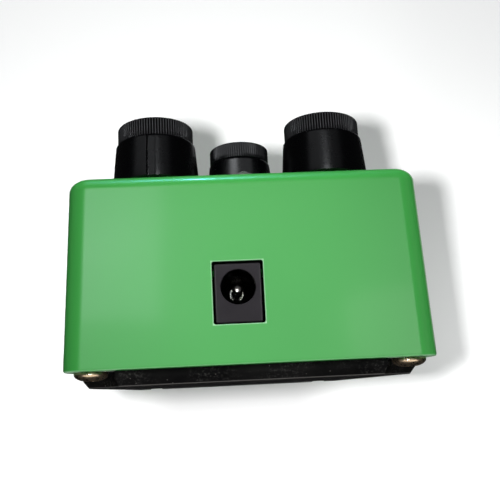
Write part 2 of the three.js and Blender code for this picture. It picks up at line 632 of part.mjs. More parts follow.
// ------------------------------------------------------------ treadle spring
const SPRING_Y = -16, COIL_R = 3.6, COIL_TURNS = 6.5, COIL_BOT = 13.6, COIL_TOP = 28.9;
// [radius, z]
const SEAT_PROFILE = [
  [0, PLATE_TOP], [4.6, PLATE_TOP], [4.6, 13], [2.5, 13], [2.5, 17], [2.1, 17.6], [0, 17.6],
];
add('spring_seat', lathe(SEAT_PROFILE, 24).translate([0, SPRING_Y, 0]), finish.black());

class Helix extends THREE.Curve {
  getPoint(t, target = new THREE.Vector3()) {
    const angle = 2 * Math.PI * COIL_TURNS * t;
    const z = COIL_BOT + (COIL_TOP - COIL_BOT) * t;
    return target.set(COIL_R * Math.cos(angle), COIL_R * Math.sin(angle), z);
  }
}
const coil = sweep(polygon(5, 0.45), new Helix(), 62).translate([0, SPRING_Y, 0]);
add('treadle_spring', coil, finish.nickel());

// ----------------------------------------- momentary switch under the treadle
const switchBody = box(span(6), span(6, SWITCH_Y), [BOARD_TOP, 16.7])
  .add(rod('z', 4, [16, 19], [0, SWITCH_Y], 28))
  .subtract(rod('z', 2.6, [12, 20], [0, SWITCH_Y], 28));
add('switch_body', switchBody, finish.plastic());
// [radius, z]
const PLUNGER_PROFILE = [[0, 13], [2.5, 13], [2.5, 24.9], [2.1, 25.4], [0, 25.4]];
const plunger = lathe(PLUNGER_PROFILE, 28).translate([0, SWITCH_Y, 0]);
add('switch_plunger', plunger, finish.nickel());

export default root;
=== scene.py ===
"""Compact effects pedal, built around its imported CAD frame.

The pedal stands on z = 0. +Y is the rear, with the knob panel and the power socket; the treadle
covers the front, towards -Y; the side sockets face +X and -X. Shapes are worked out in mm and
turned into metres as meshes are made. Shader distances are in metres.
"""
import bpy
import bmesh
import json
import math
from functools import partialmethod
from typing import NamedTuple
import numpy as np
from mathutils import Matrix, Vector

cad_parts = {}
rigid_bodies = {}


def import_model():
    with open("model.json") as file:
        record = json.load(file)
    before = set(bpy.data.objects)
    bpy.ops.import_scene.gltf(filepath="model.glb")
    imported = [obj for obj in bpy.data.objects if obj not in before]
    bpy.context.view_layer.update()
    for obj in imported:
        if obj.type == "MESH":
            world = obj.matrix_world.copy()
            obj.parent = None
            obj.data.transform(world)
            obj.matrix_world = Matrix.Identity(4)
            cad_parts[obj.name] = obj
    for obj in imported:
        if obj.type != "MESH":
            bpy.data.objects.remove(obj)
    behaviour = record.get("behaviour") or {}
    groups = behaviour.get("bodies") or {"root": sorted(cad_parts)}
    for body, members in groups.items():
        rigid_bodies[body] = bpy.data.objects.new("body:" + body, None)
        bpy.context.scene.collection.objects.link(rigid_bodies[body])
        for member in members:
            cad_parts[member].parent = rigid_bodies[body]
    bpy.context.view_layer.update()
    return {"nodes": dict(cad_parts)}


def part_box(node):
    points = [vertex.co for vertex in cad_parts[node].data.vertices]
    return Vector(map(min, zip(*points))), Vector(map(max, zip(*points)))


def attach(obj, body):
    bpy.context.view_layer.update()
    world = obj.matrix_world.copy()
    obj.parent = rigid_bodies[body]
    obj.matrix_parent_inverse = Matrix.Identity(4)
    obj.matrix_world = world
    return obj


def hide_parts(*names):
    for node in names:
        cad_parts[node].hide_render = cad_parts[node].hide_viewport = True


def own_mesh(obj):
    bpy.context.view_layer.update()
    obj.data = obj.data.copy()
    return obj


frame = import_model()
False  # nothing is simulated, so quick and full builds are the same

# ---------------------------------------------------------------- main dimensions, mm
MM = 0.001
SIDES = (1, -1)
HALF_W, HALF_L = 35.0, 62.0         # casing at its foot
MAT_T = 3.0                         # rubber pad, and so the height of the casing's foot
DRAFT, WALL = 0.035, 2.4            # lean of the walls per mm of height, wall thickness
PANEL_SLOPE, PANEL_REAR_Y, PANEL_REAR_Z = 0.084, 60.69, 40.45
STEP_TOP_Y, STEP_BOT_Y = 20.0, 15.5  # the step from the panel down to the deck
DECK_Z, DECK_SLOPE = 31.0, 0.0596
SCREW_X, SCREW_Y = 30.0, 56.9
DC_X, DC_Z, DC_FACE_Y = 2.0, 16.4, 61.2   # power socket
DC_BORE_Z, DC_BORE_R = 17.4, 3.25
WINDOW_X, WINDOW_Z = 4.8, 5.9       # half sizes of the power socket window
JACK_Y, JACK_Z, JACK_BORE_R = 16.0, 17.5, 3.32
HINGE_Y, HINGE_Z = 9.0, 27.6
TREADLE_SLOPE, TREADLE_TOP = 0.058, 6.0
KNOB_TOP_Y, KNOB_H = 46.9, 13.6
TONE_TOP_Y, TONE_H = 42.4, 10.3
BOARD_TOP_Z = 10.7                  # parts inside the casing start here


def panel_z(y):
    return PANEL_REAR_Z + PANEL_SLOPE * (y - PANEL_REAR_Y)


def deck_z(y):
    return DECK_Z + DECK_SLOPE * (y - STEP_BOT_Y)


# Places on the panel are (x, distance up the slope) from the row of large knobs.
PANEL_Y = KNOB_TOP_Y + KNOB_H * math.sin(PANEL_SLOPE)
TONE_V = (TONE_TOP_Y + TONE_H * math.sin(PANEL_SLOPE) - PANEL_Y) / math.cos(PANEL_SLOPE)
LEVEL_AT, DRIVE_AT, TONE_AT = (17.55, 0), (-17.55, 0), (0, TONE_V)
LAMP_AT = (-0.3, 6.13)
TO_PANEL = (Matrix.Translation((0, PANEL_Y, panel_z(PANEL_Y)))
            @ Matrix.Rotation(PANEL_SLOPE, 4, "X"))
TO_TREADLE = (Matrix.Translation((0, HINGE_Y, HINGE_Z))
              @ Matrix.Rotation(TREADLE_SLOPE, 4, "X"))

low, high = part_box("casing")
assert abs(high.x - HALF_W * MM) < 1e-4, "casing width"
assert abs(high.y - HALF_L * MM) < 1e-4, "casing length"
assert abs(low.z - MAT_T * MM) < 1e-4, "casing foot"
low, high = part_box("dc_jack_body")
assert abs(high.y - DC_FACE_Y * MM) < 1e-4, "power socket face"
assert abs((low.x + high.x) / 2 - DC_X * MM) < 1e-4, "power socket place"
low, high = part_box("input_jack_nut")
assert abs((low.y + high.y) / 2 - JACK_Y * MM) < 2e-4, "side socket place"
assert abs((low.z + high.z) / 2 - JACK_Z * MM) < 2e-4, "side socket height"


# ---------------------------------------------------------------- mesh helpers, mm
def link_object(name, data):
    ob = bpy.data.objects.new(name, data)
    bpy.context.scene.collection.objects.link(ob)
    return ob


def moved(points, matrix):
    rows = np.array(matrix)
    return points @ rows[:3, :3].T + rows[:3, 3]


def mesh_object(name, points, faces, matrix=None):
    points = np.asarray(points, float)
    if matrix is not None:
        points = moved(points, matrix)
    mesh = bpy.data.meshes.new(name)
    mesh.from_pydata((points * MM).tolist(), [], faces)
    bm = bmesh.new()
    bm.from_mesh(mesh)
    bmesh.ops.remove_doubles(bm, verts=bm.verts, dist=1e-8)
    bmesh.ops.recalc_face_normals(bm, faces=bm.faces)
    bm.to_mesh(mesh)
    bm.free()
    return link_object(name, mesh)


def bmesh_object(name, bm):
    mesh = bpy.data.meshes.new(name)
    bm.to_mesh(mesh)
    bm.free()
    return link_object(name, mesh)


def bake(ob):
    """Replaces the mesh by its evaluated form and drops the modifiers."""
    bpy.context.view_layer.update()
    depsgraph = bpy.context.evaluated_depsgraph_get()
    mesh = bpy.data.meshes.new_from_object(ob.evaluated_get(depsgraph))
    old = ob.data
    ob.modifiers.clear()
    ob.data = mesh
    mesh.name = ob.name
    bpy.data.meshes.remove(old)


def add_bevel(ob, width, segments, angle):
    bevel = ob.modifiers.new("edge", "BEVEL")
    bevel.width = width * MM
    bevel.segments = segments
    bevel.limit_method = "ANGLE"
    bevel.angle_limit = math.radians(angle)
    bevel.use_clamp_overlap = True


def add_weighted_normals(ob):
    weighted = ob.modifiers.new("wn", "WEIGHTED_NORMAL")
    weighted.keep_sharp = True
    return weighted


def tidy(ob, angle, weighted=True, bevel=0.0, segments=2, bevel_angle=40):
    """Bevels if asked, shades smooth with edges sharp above angle, and keeps flat faces flat."""
    if bevel:
        add_bevel(ob, bevel, segments, bevel_angle)
        bake(ob)
    ob.data.shade_smooth()
    ob.data.set_sharp_from_angle(angle=math.radians(angle))
    if weighted:
        add_weighted_normals(ob).weight = 60
        bake(ob)


def boolean(ob, tools, operation="DIFFERENCE"):
    for tool in tools:
        modifier = ob.modifiers.new("boolean", "BOOLEAN")
        modifier.operation = operation
        modifier.solver = "EXACT"
        modifier.object = tool
    bake(ob)
    for tool in tools:
        bpy.data.objects.remove(tool)


def join(name, obs):
    bm = bmesh.new()
    for ob in obs:
        bm.from_mesh(ob.data)
    joined = bmesh_object(name, bm)
    for ob in obs:
        bpy.data.objects.remove(ob)
    return joined


def revolve(profile, segments, reshape=None):
    """Turns a closed (radius, z) profile about z; points at radius 0 become poles.

    reshape(row, radius, angles) may return other radii around a row.
    """
    angles = np.arange(segments) * 2 * math.pi / segments
    rows, points, faces = [], [], []
    for index, (radius, z) in enumerate(profile):
        if radius < 1e-9:
            rows.append([len(points)] * segments)
            points.append((0.0, 0.0, z))
            continue
        radii = np.full(segments, float(radius))
        if reshape:
            radii = reshape(index, radius, angles)
        rows.append(list(range(len(points), len(points) + segments)))
        points += [(r * math.cos(t), r * math.sin(t), z) for r, t in zip(radii, angles)]
    for row, following in zip(rows, rows[1:] + rows[:1]):
        if row[0] == row[1] and following[0] == following[1]:
            continue  # both ends on the axis
        for i in range(segments):
            j = (i + 1) % segments
            face = list(dict.fromkeys([row[i], row[j], following[j], following[i]]))
            if len(face) > 2:
                faces.append(face)
    return points, faces


def turned(name, profile, segments, axis="z", at=(0, 0, 0), sign=1, matrix=None):
    """A revolved solid along an axis; sign -1 points it down the x or y axis."""
    points, faces = revolve(profile, segments)
    points = np.array(points)
    if axis == "x":
        points = np.c_[sign * points[:, 2], points[:, 0], points[:, 1]]
    if axis == "y":
        points = np.c_[points[:, 0], sign * points[:, 2], points[:, 1]]
    return mesh_object(name, points + np.array(at, float), faces, matrix)


def cylinder(name, axis, radius, start, end, at, segments=48, matrix=None):
    profile = [(0, start), (radius, start), (radius, end), (0, end)]
    return turned(name, profile, segments, axis, at, matrix=matrix)


def hull(name, points):
    bm = bmesh.new()
    for point in np.unique(np.round(np.asarray(points, float), 5), axis=0):
        bm.verts.new(point)
    result = bmesh.ops.convex_hull(bm, input=bm.verts)
    unused = {item for item in result["geom_interior"] + result["geom_unused"]
              if isinstance(item, bmesh.types.BMVert)}
    bmesh.ops.delete(bm, geom=list(unused), context="VERTS")
    bmesh.ops.dissolve_limit(bm, angle_limit=math.radians(0.15), verts=bm.verts, edges=bm.edges)
    bm.transform(Matrix.Scale(MM, 4))
    bmesh.ops.recalc_face_normals(bm, faces=bm.faces)
    return bmesh_object(name, bm)


def rect_ring(half_x, half_y, radius, z, steps=8, centre=(0.0, 0.0)):
    """Points of a level rectangle with rounded corners."""
    ring = []
    for sx, sy, start in ((1, 1, 0), (-1, 1, 90), (-1, -1, 180), (1, -1, 270)):
        for i in range(steps + 1):
            angle = math.radians(start + 90 * i / steps)
            ring.append((centre[0] + sx * (half_x - radius) + radius * math.cos(angle),
                         centre[1] + sy * (half_y - radius) + radius * math.sin(angle), z))
    return ring


def loft(name, rings, matrix=None):
    count = len(rings[0])
    faces = []
    for first in range(0, (len(rings) - 1) * count, count):
        for i in range(count):
            a, b = first + i, first + (i + 1) % count
            faces.append([a, b, b + count, a + count])
    faces.append(list(range(count))[::-1])
    faces.append([(len(rings) - 1) * count + i for i in range(count)])
    return mesh_object(name, [point for ring in rings for point in ring], faces, matrix)


def box(name, xs, ys, zs, matrix=None):
    points = [(x, y, z) for z in zs for y in ys for x in xs]
    faces = [[0, 2, 3, 1], [4, 5, 7, 6], [0, 1, 5, 4], [2, 6, 7, 3], [0, 4, 6, 2], [1, 3, 7, 5]]
    return mesh_object(name, points, faces, matrix)


def side_span(side, near, far):
    """x range of something between near and far from the middle, on one side."""
    return (near, far) if side > 0 else (-far, -near)


def sweep(name, path, radius, segments):
    """A round wire along a path, its section carried along without twist."""
    path = np.array(path, float)
    tangents = np.gradient(path, axis=0)
    tangents /= np.linalg.norm(tangents, axis=1)[:, None]
    normal = np.cross(tangents[0], np.array([0, 0, 1.0]))
    if np.linalg.norm(normal) < 1e-3:
        normal = np.cross(tangents[0], [1, 0, 0])
    normal /= np.linalg.norm(normal)
    points, faces = [], []
    for centre, tangent in zip(path, tangents):
        normal = normal - tangent * np.dot(normal, tangent)
        normal /= np.linalg.norm(normal)
        across = np.cross(tangent, normal)
        points += [tuple(centre + radius * (math.cos(q) * normal + math.sin(q) * across))
                   for q in np.arange(segments) * 2 * math.pi / segments]
    last = (len(path) - 1) * segments
    for first in range(0, last, segments):
        for j in range(segments):
            a, b = first + j, first + (j + 1) % segments
            faces.append([a, b, b + segments, a + segments])
    faces.append(list(range(segments))[::-1])
    faces.append([last + j for j in range(segments)])
    return mesh_object(name, points, faces)


def catmull_rom(knots, steps=14):
    knots = [np.array(knot, float) for knot in knots]
    knots = [2 * knots[0] - knots[1]] + knots + [2 * knots[-1] - knots[-2]]
    path = []
    for i in range(1, len(knots) - 2):
        a, b, c, d = knots[i - 1:i + 3]
        for q in np.arange(steps) / steps:
            path.append(0.5 * ((2 * b) + (-a + c) * q + (2 * a - 5 * b + 4 * c - d) * q * q
                               + (-a + 3 * b - 3 * c + d) * q ** 3))
    path.append(knots[-2])
    return path


# ---------------------------------------------------------------- shader helpers
def rgba(value):
    """Opaque colour from an RGB tuple or a grey level."""
    return (*value, 1) if isinstance(value, tuple) else (value, value, value, 1)


class Nodes:
    """Builds the node tree of a material or a world."""

    def __init__(self, owner):
        owner.use_nodes = True
        self.tree = owner.node_tree
        self.tree.nodes.clear()

    def feed(self, node, inputs):
        """Links sockets into a node's inputs, or sets plain values on them."""
        for key, value in inputs.items():
            socket = node.inputs[key]
            if isinstance(value, bpy.types.NodeSocket):
                self.tree.links.new(value, socket)
            else:
                socket.default_value = rgba(value) if socket.type == "RGBA" else value

    def node(self, kind, inputs=None, **settings):
        node = self.tree.nodes.new("ShaderNode" + kind)
        for key, value in settings.items():
            setattr(node, key, value)
        self.feed(node, inputs or {})
        return node

    def out(self, kind, inputs=None, **settings):
        return self.node(kind, inputs, **settings).outputs[0]

    def calc(self, operation, first, second=None, clamp=False):
        inputs = {0: first} if second is None else {0: first, 1: second}
        return self.out("Math", inputs, operation=operation, use_clamp=clamp)

    add = partialmethod(calc, "ADD")
    sub = partialmethod(calc, "SUBTRACT")
    mul = partialmethod(calc, "MULTIPLY")
    less = partialmethod(calc, "LESS_THAN")
    more = partialmethod(calc, "GREATER_THAN")
    largest = partialmethod(calc, "MAXIMUM")
    size = partialmethod(calc, "ABSOLUTE")

    def split(self, vector):
        return self.node("SeparateXYZ", {0: vector}).outputs

    def grey(self, level):
        return self.out("CombineColor", {0: level, 1: level, 2: level})

    def map_range(self, value, start, end, low, high, kind="SMOOTHSTEP"):
        inputs = {0: value, 1: start, 2: end, 3: low, 4: high}
        return self.out("MapRange", inputs, interpolation_type=kind)

    def noise(self, vector, scale, detail=3):
        return self.out("TexNoise", {"Vector": vector, "Scale": scale, "Detail": detail,
                                     "Roughness": 0.55})

    def ramp(self, value, start, end, low=0, high=1):
        node = self.node("ValToRGB", {0: value})
        first, last = node.color_ramp.elements
        first.position, last.position = start, end
        first.color, last.color = rgba(low), rgba(high)
        return node.outputs[0]

    def mottle(self, vector, scale, detail=3, start=0.3, end=0.7, low=0, high=1):
        """Noise sharpened by a ramp."""
        return self.ramp(self.noise(vector, scale, detail), start, end, low, high)

    def mix(self, share, first, second, blend="MIX"):
        inputs = {0: share, 6: first, 7: second}
        return self.node("Mix", inputs, data_type="RGBA", blend_type=blend).outputs[2]

    def tint(self, colour, mask, strength, over):
        """Lays the colour 'over' on where the mask is set."""
        return self.mix(self.mul(mask, strength), colour, over)

    def specks(self, vector, scale, size, share):
        """Sparse round marks: 1 inside a mark; share is the part of cells that have one."""
        cells = self.node("TexVoronoi", {"Scale": scale, "Vector": vector}).outputs
        near = self.less(cells["Distance"], size)
        pick = self.out("SeparateColor", {0: cells["Color"]})
        return self.mul(near, self.less(pick, share))


class Surface(Nodes):
    """A material around one Principled shader, textured in object space."""

    def __init__(self, name):
        self.material = bpy.data.materials.new(name)
        super().__init__(self.material)
        self.shader = self.node("BsdfPrincipled")
        self.node("OutputMaterial", {0: self.shader.outputs[0]})
        self.coords = self.node("TexCoord").outputs["Object"]

    def mapped(self, scale=(1, 1, 1)):
        return self.out("Mapping", {"Scale": scale, 0: self.coords})

    def set(self, inputs):
        self.feed(self.shader, inputs)

    def source(self, key):
        """The socket that now feeds one of the shader's inputs."""
        return self.shader.inputs[key].links[0].from_socket

    def bump(self, height, strength, distance):
        """Adds relief on top of any already there."""
        inputs = {"Height": height, "Strength": strength, "Distance": distance}
        if self.shader.inputs["Normal"].is_linked:
            inputs["Normal"] = self.source("Normal")
        self.set({"Normal": self.out("Bump", inputs)})


# ---------------------------------------------------------------- materials
def green_paint():
    mat = Surface("green_paint")
    vec = mat.mapped()
    colour = mat.mix(mat.mottle(vec, scale=22, detail=2, start=0.35, end=0.65),
                     (0.052, 0.405, 0.070), (0.060, 0.440, 0.078))
    dark = mat.specks(vec, scale=150, size=0.035, share=0.10)
    colour = mat.tint(colour, dark, strength=0.55, over=(0.02, 0.10, 0.03))
    pale = mat.specks(mat.mapped((1.1, 0.9, 1.05)), scale=95, size=0.022, share=0.08)
    colour = mat.tint(colour, pale, strength=0.6, over=(0.45, 0.80, 0.50))
    # painted shade: darker towards the sides, with the square of the distance from the middle
    across = mat.mul(mat.split(mat.coords)[0], 1 / (HALF_W * MM))
    tone = mat.sub(1.05, mat.mul(mat.mul(across, across), 0.22))
    colour = mat.mix(1.0, colour, mat.grey(tone), blend="MULTIPLY")

    # the power socket window: pale on its lip, and painted shade, nearly black, on the walls
    # inside
    x, y, z = mat.split(mat.coords)
    beyond_x = mat.sub(mat.size(mat.sub(x, DC_X * MM)), WINDOW_X * MM)
    beyond_z = mat.sub(mat.size(mat.sub(z, DC_Z * MM)), WINDOW_Z * MM)
    beyond = mat.largest(beyond_x, beyond_z)
    depth = mat.sub((HALF_L + DRAFT * MAT_T) * MM, mat.add(y, mat.mul(z, DRAFT)))
    lip_depth = 0.16 * MM
    lip = mat.mul(mat.less(beyond, 0.20 * MM), mat.less(depth, lip_depth))
    # painted shade on the window's inner walls
    inside = mat.mul(mat.less(beyond, 0.10 * MM), mat.more(depth, lip_depth))
    inside = mat.mul(inside, mat.more(y, 0.0575))
    colour = mat.mix(inside, colour, (0.003, 0.012, 0.005))

    # the bottom rim, but not the downward faces, is pale as well: a painted highlight along the
    # lowest edge
    normal_z = mat.split(mat.node("NewGeometry").outputs["Normal"])[2]
    rim_highlight = mat.mul(mat.less(z, 3.32 * MM), mat.more(normal_z, -0.8))
    # pale worn paint on the window's lip, and the painted highlight on the rim
    wear_and_highlight = mat.largest(mat.mul(lip, 0.75), mat.mul(rim_highlight, 0.45))
    uneven = mat.add(mat.mul(mat.noise(vec, scale=500, detail=2), 0.8), 0.45)
    wear_and_highlight = mat.mul(wear_and_highlight, uneven, clamp=True)
    mat.set({
        "Base Color": mat.mix(wear_and_highlight, colour, (0.45, 0.86, 0.50)),
        "Roughness": mat.mottle(vec, scale=60, low=0.29, high=0.34),
        "Specular IOR Level": 0.5, "Coat Weight": 0.30, "Coat Roughness": 0.09,
    })
    mat.bump(mat.noise(vec, scale=420, detail=2), strength=0.08, distance=0.00012)
    mat.bump(mat.noise(vec, scale=2600, detail=2), strength=0.05, distance=0.00003)
    return mat


def plastic(name, colour, roughness=0.45, coat=0.0, grain=1800, relief=0.15, spread=0.3):
    """grain and relief: scale and strength of the fine bumps; spread: colour variation."""
    mat = Surface(name)
    vec = mat.mapped()
    mat.set({
        "Base Color": mat.mix(mat.mottle(vec, scale=90, detail=4),
                              tuple(c * (1 - spread) for c in colour),
                              tuple(c * (1 + spread) for c in colour)),
        "Roughness": mat.mottle(vec, scale=260, low=roughness * 0.85,
                                high=min(1, roughness * 1.2)),
        "Specular IOR Level": 0.5, "Coat Weight": coat, "Coat Roughness": 0.1,
    })
    mat.bump(mat.noise(vec, scale=grain), strength=relief, distance=0.00004)
    return mat


def power_socket_plastic():
    """Plastic that turns nearly black down the bore: painted shade."""
    mat = plastic("socket_housing", (0.041, 0.037, 0.044), 0.40, grain=1400, relief=0.10,
                  spread=0.18)
    x, y, z = mat.split(mat.coords)
    off_x = mat.sub(x, DC_X * MM)
    off_z = mat.sub(z, DC_BORE_Z * MM)
    distance2 = mat.add(mat.mul(off_x, off_x), mat.mul(off_z, off_z))
    # painted shade down the bore, with its reflection turned down as well
    bore_shade = mat.mul(mat.less(distance2, (3.34 * MM) ** 2), mat.less(y, (DC_FACE_Y - 0.12) * MM))
    mat.set({
        "Base Color": mat.mix(bore_shade, mat.source("Base Color"), (0.0006, 0.0005, 0.0006)),
        "Specular IOR Level": mat.sub(0.5, mat.mul(bore_shade, 0.48)),
    })
    return mat


def rubber(name):
    mat = Surface(name)
    vec = mat.mapped()
    colour = mat.mix(mat.mottle(vec, scale=160, detail=5, start=0.35, end=0.75),
                     (0.0055, 0.0055, 0.006), (0.017, 0.0165, 0.016))
    specks = mat.specks(vec, scale=900, size=0.10, share=0.34)
    colour = mat.tint(colour, specks, strength=0.8, over=(0.20, 0.19, 0.18))
    # fine dust gathered in patches
    patches = mat.mottle(vec, scale=120, start=0.42, end=0.60)
    dust = mat.mul(mat.mottle(vec, scale=2400, detail=2, start=0.52, end=0.66), patches)
    colour = mat.tint(colour, dust, strength=0.34, over=(0.15, 0.145, 0.14))
    scratches = mat.mottle(mat.mapped((1, 1, 7)), scale=420, detail=2, start=0.70, end=0.74)
    colour = mat.tint(colour, scratches, strength=0.25, over=(0.16, 0.155, 0.15))
    # pale line along the lowest edge: wear, and a painted highlight
    z = mat.split(mat.coords)[2]
    wear_and_highlight = mat.mul(mat.less(z, 0.26 * MM), mat.more(z, 0.08 * MM))
    colour = mat.tint(colour, wear_and_highlight, strength=0.55, over=(0.26, 0.25, 0.24))
    mat.set({
        "Base Color": colour,
        "Roughness": mat.mottle(vec, scale=300, low=0.5, high=0.72),
        "Specular IOR Level": 0.35,
    })
    mat.bump(mat.noise(vec, scale=1500, detail=4), strength=0.35, distance=0.00008)
    return mat


def metal(name, colour, roughness, scale, relief, stretch=(1, 1, 1), dirt=0.0):
    mat = Surface(name)
    grain = mat.noise(mat.mapped(stretch), scale=scale)
    shade = mat.mix(mat.ramp(grain, 0.3, 0.7), tuple(c * 0.86 for c in colour), colour)
    if dirt:
        stains = mat.mottle(mat.mapped(), scale=450, detail=4, start=0.52, end=0.68)
        shade = mat.tint(shade, stains, dirt, over=tuple(c * 0.12 for c in colour))
    mat.set({
        "Base Color": shade, "Metallic": 1.0,
        "Roughness": mat.ramp(grain, 0.3, 0.7, low=roughness * 0.75, high=roughness * 1.3),
    })
    mat.bump(grain, strength=relief, distance=0.00003)
    return mat


def laminate():
    """Circuit board with broken paler lines and metal pads."""
    mat = Surface("laminate")
    vec = mat.mapped()
    bricks = mat.node("TexBrick", {
        "Vector": vec, "Scale": 160, "Mortar Size": 0.09, "Mortar Smooth": 0.0,
        "Color1": 0, "Color2": 0, "Mortar": 1,
    }, offset=0.37)
    tracks = mat.mul(bricks.outputs["Fac"],
                     mat.mottle(vec, scale=90, detail=1, start=0.47, end=0.5))
    colour = mat.mix(tracks, (0.008, 0.075, 0.032), (0.03, 0.19, 0.07))
    pads = mat.specks(vec, scale=330, size=0.20, share=0.25)
    mat.set({
        "Base Color": mat.mix(pads, colour, (0.62, 0.60, 0.56)),
        "Metallic": mat.mul(pads, 0.9), "Roughness": 0.32, "Coat Weight": 0.3,
    })
    mat.bump(tracks, strength=0.3, distance=0.00004)
    mat.bump(pads, strength=0.5, distance=0.0001)
    return mat


def battery_can():
    """Black can, copper-coloured beyond x = 8 mm, with a pale tip beyond 20.8 mm."""
    mat = Surface("battery_can")
    x = mat.split(mat.coords)[0]
    band = mat.more(x, 8 * MM)
    grain = mat.noise(mat.mapped((1, 6, 1)), scale=500)
    colour = mat.mix(band, (0.012, 0.012, 0.014), (0.52, 0.27, 0.10))
    colour = mat.mix(mat.more(x, 20.8 * MM), colour, (0.72, 0.71, 0.68))
    mat.set({
        "Base Color": mat.tint(colour, grain, strength=0.2, over=(0.3, 0.3, 0.3)),
        "Metallic": mat.largest(mat.mul(band, 0.9), 0.2),
        "Roughness": mat.ramp(grain, 0.3, 0.7, low=0.25, high=0.4),
    })
    mat.bump(grain, strength=0.1, distance=0.00003)
    return mat


def lamp_lens():
    mat = Surface("lamp_lens")
    vec = mat.mapped()
    mat.set({
        "Base Color": mat.mix(mat.mottle(vec, scale=700, detail=2),
                              (0.42, 0.43, 0.40), (0.55, 0.54, 0.52)),
        "Roughness": mat.mottle(vec, scale=1200, detail=2, low=0.05, high=0.09),
        "Transmission Weight": 0.9, "IOR": 1.5,
    })
    mat.bump(mat.noise(vec, scale=900, detail=2), strength=0.02, distance=0.00003)
    return mat


def knob_cap():
    """Gloss plastic, with a painted highlight: paler where the mesh's crest attribute is set."""
    mat = plastic("knob_cap", (0.0030, 0.0030, 0.0038), 0.17, grain=2500, relief=0.08,
                  spread=0.15)
    crest = mat.node("Attribute", attribute_type="GEOMETRY", attribute_name="crest")
    mat.set({"Base Color": mat.mix(crest.outputs["Fac"], mat.source("Base Color"),
                                   (0.044, 0.044, 0.048))})
    return mat


SURFACES = {
    "paint": green_paint(),
    "skirt": plastic("knob_gloss", (0.0006, 0.0006, 0.0010), 0.27, grain=2600, relief=0.03,
                     spread=0.15),
    "cap": knob_cap(),
    "line": plastic("index_white", (0.72, 0.71, 0.66), spread=0.05),
    "rubber": rubber("rubber"),
    "grip": rubber("grip_rubber"),
    "plastic": plastic("socket_plastic", (0.020, 0.017, 0.022), 0.42, grain=1400, relief=0.12,
                       spread=0.18),
    "socket": power_socket_plastic(),
    "black": plastic("black_plastic", (0.012, 0.012, 0.013), 0.42, grain=1500, relief=0.2),
    "bronze": metal("bronze_plate", (0.80, 0.64, 0.46), 0.30, scale=1400, relief=0.2, dirt=0.55),
    "nickel": metal("nickel_plate", (0.76, 0.75, 0.72), 0.17, scale=1200, relief=0.05),
    "polished": metal("polished_contact", (0.86, 0.86, 0.85), 0.12, scale=1500, relief=0.03),
    "zinc": metal("zinc_can", (0.56, 0.57, 0.58), 0.34, scale=700, relief=0.1),
    "steel": metal("sheet_steel", (0.58, 0.58, 0.57), 0.32, scale=1500, relief=0.15,
                   stretch=(0.06, 1, 1)),
    "board": laminate(),
    "battery": battery_can(),
    "lamp": lamp_lens(),
    "bezel": plastic("lamp_collar", (0.075, 0.085, 0.075), 0.22, coat=0.3, grain=1500,
                     relief=0.06, spread=0.12),
    "red": plastic("red_insulation", (0.42, 0.015, 0.012), 0.38, spread=0.12),
    "blackwire": plastic("black_insulation", (0.014, 0.014, 0.014), 0.4),
    "film": plastic("dipped_red", (0.38, 0.03, 0.02), 0.22, coat=0.4, grain=500, relief=0.2,
                    spread=0.15),
    "flex": plastic("amber_film", (0.50, 0.22, 0.04), 0.25, spread=0.1),
}
MATERIALS = {key: surface.material for key, surface in SURFACES.items()}


def place(ob, body, materials, slot, *replaced):
    """Gives a part its materials and its moving body, and hides the CAD nodes it replaces; slot
    is not used.
    """
    ob.data.materials.clear()
    for key in materials.split():
        ob.data.materials.append(MATERIALS[key])
    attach(ob, body)
    if replaced:
        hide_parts(*replaced)


# ---------------------------------------------------------------- casing
# Its surfaces are planes, given as (outward normal, offset); inset moves one inwards.
def side_plane(side, inset=0.0):
    return (side, 0, DRAFT), HALF_W + DRAFT * MAT_T - inset


def end_plane(end, inset=0.0):
    return (0, end, DRAFT), HALF_L + DRAFT * MAT_T - inset


def panel_plane(inset=0.0):
    return (0, -PANEL_SLOPE, 1), PANEL_REAR_Z - PANEL_SLOPE * PANEL_REAR_Y - inset


def deck_plane(inset=0.0):
    return (0, -DECK_SLOPE, 1), DECK_Z - DECK_SLOPE * STEP_BOT_Y - inset


def step_plane(inset=0.0):
    run, rise = STEP_TOP_Y - STEP_BOT_Y, panel_z(STEP_TOP_Y) - DECK_Z
    length = math.hypot(run, rise)
    offset = (-rise * STEP_BOT_Y + run * DECK_Z) / length
    return (0, -rise / length, run / length), offset - inset


def cross_plane(y):
    return (0, 1, 0), y


def corner_balls(planes, radius, segments, squash=1.0, side_inset=0.0):
    """Points of a ball tangent to a side plane and two others, on both sides.

    squash is the height of the ball over its width.
    """
    points = []
    around = np.arange(segments) * 2 * math.pi / segments
    upward = np.linspace(-math.pi / 2, math.pi / 2, segments // 2 + 1)
    around, upward = np.meshgrid(around, upward)
    for side in SIDES:
        normals, offsets = [], []
        for (nx, ny, nz), offset in (side_plane(side, side_inset), *planes):
            normal = (nx, ny, nz * squash)
            length = math.sqrt(sum(part * part for part in normal))
            normals.append([part / length for part in normal])
            offsets.append(offset / length - radius)
        cx, cy, cz = np.linalg.solve(np.array(normals), np.array(offsets))
        ball = np.c_[(cx + radius * np.cos(upward) * np.cos(around)).ravel(),
                     (cy + radius * np.cos(upward) * np.sin(around)).ravel(),
                     (cz + radius * np.sin(upward)).ravel()]
        points += (ball * [1, 1, squash]).tolist()
    return points


FOOT_RADIUS, FOOT_LIP = 4.0, 0.45
# (z, inset) up the softened edge at the foot
FOOT_STATIONS = ((MAT_T, FOOT_LIP), (MAT_T + FOOT_LIP * 0.29, FOOT_LIP * 0.29),
                 (MAT_T + FOOT_LIP, 0.0))


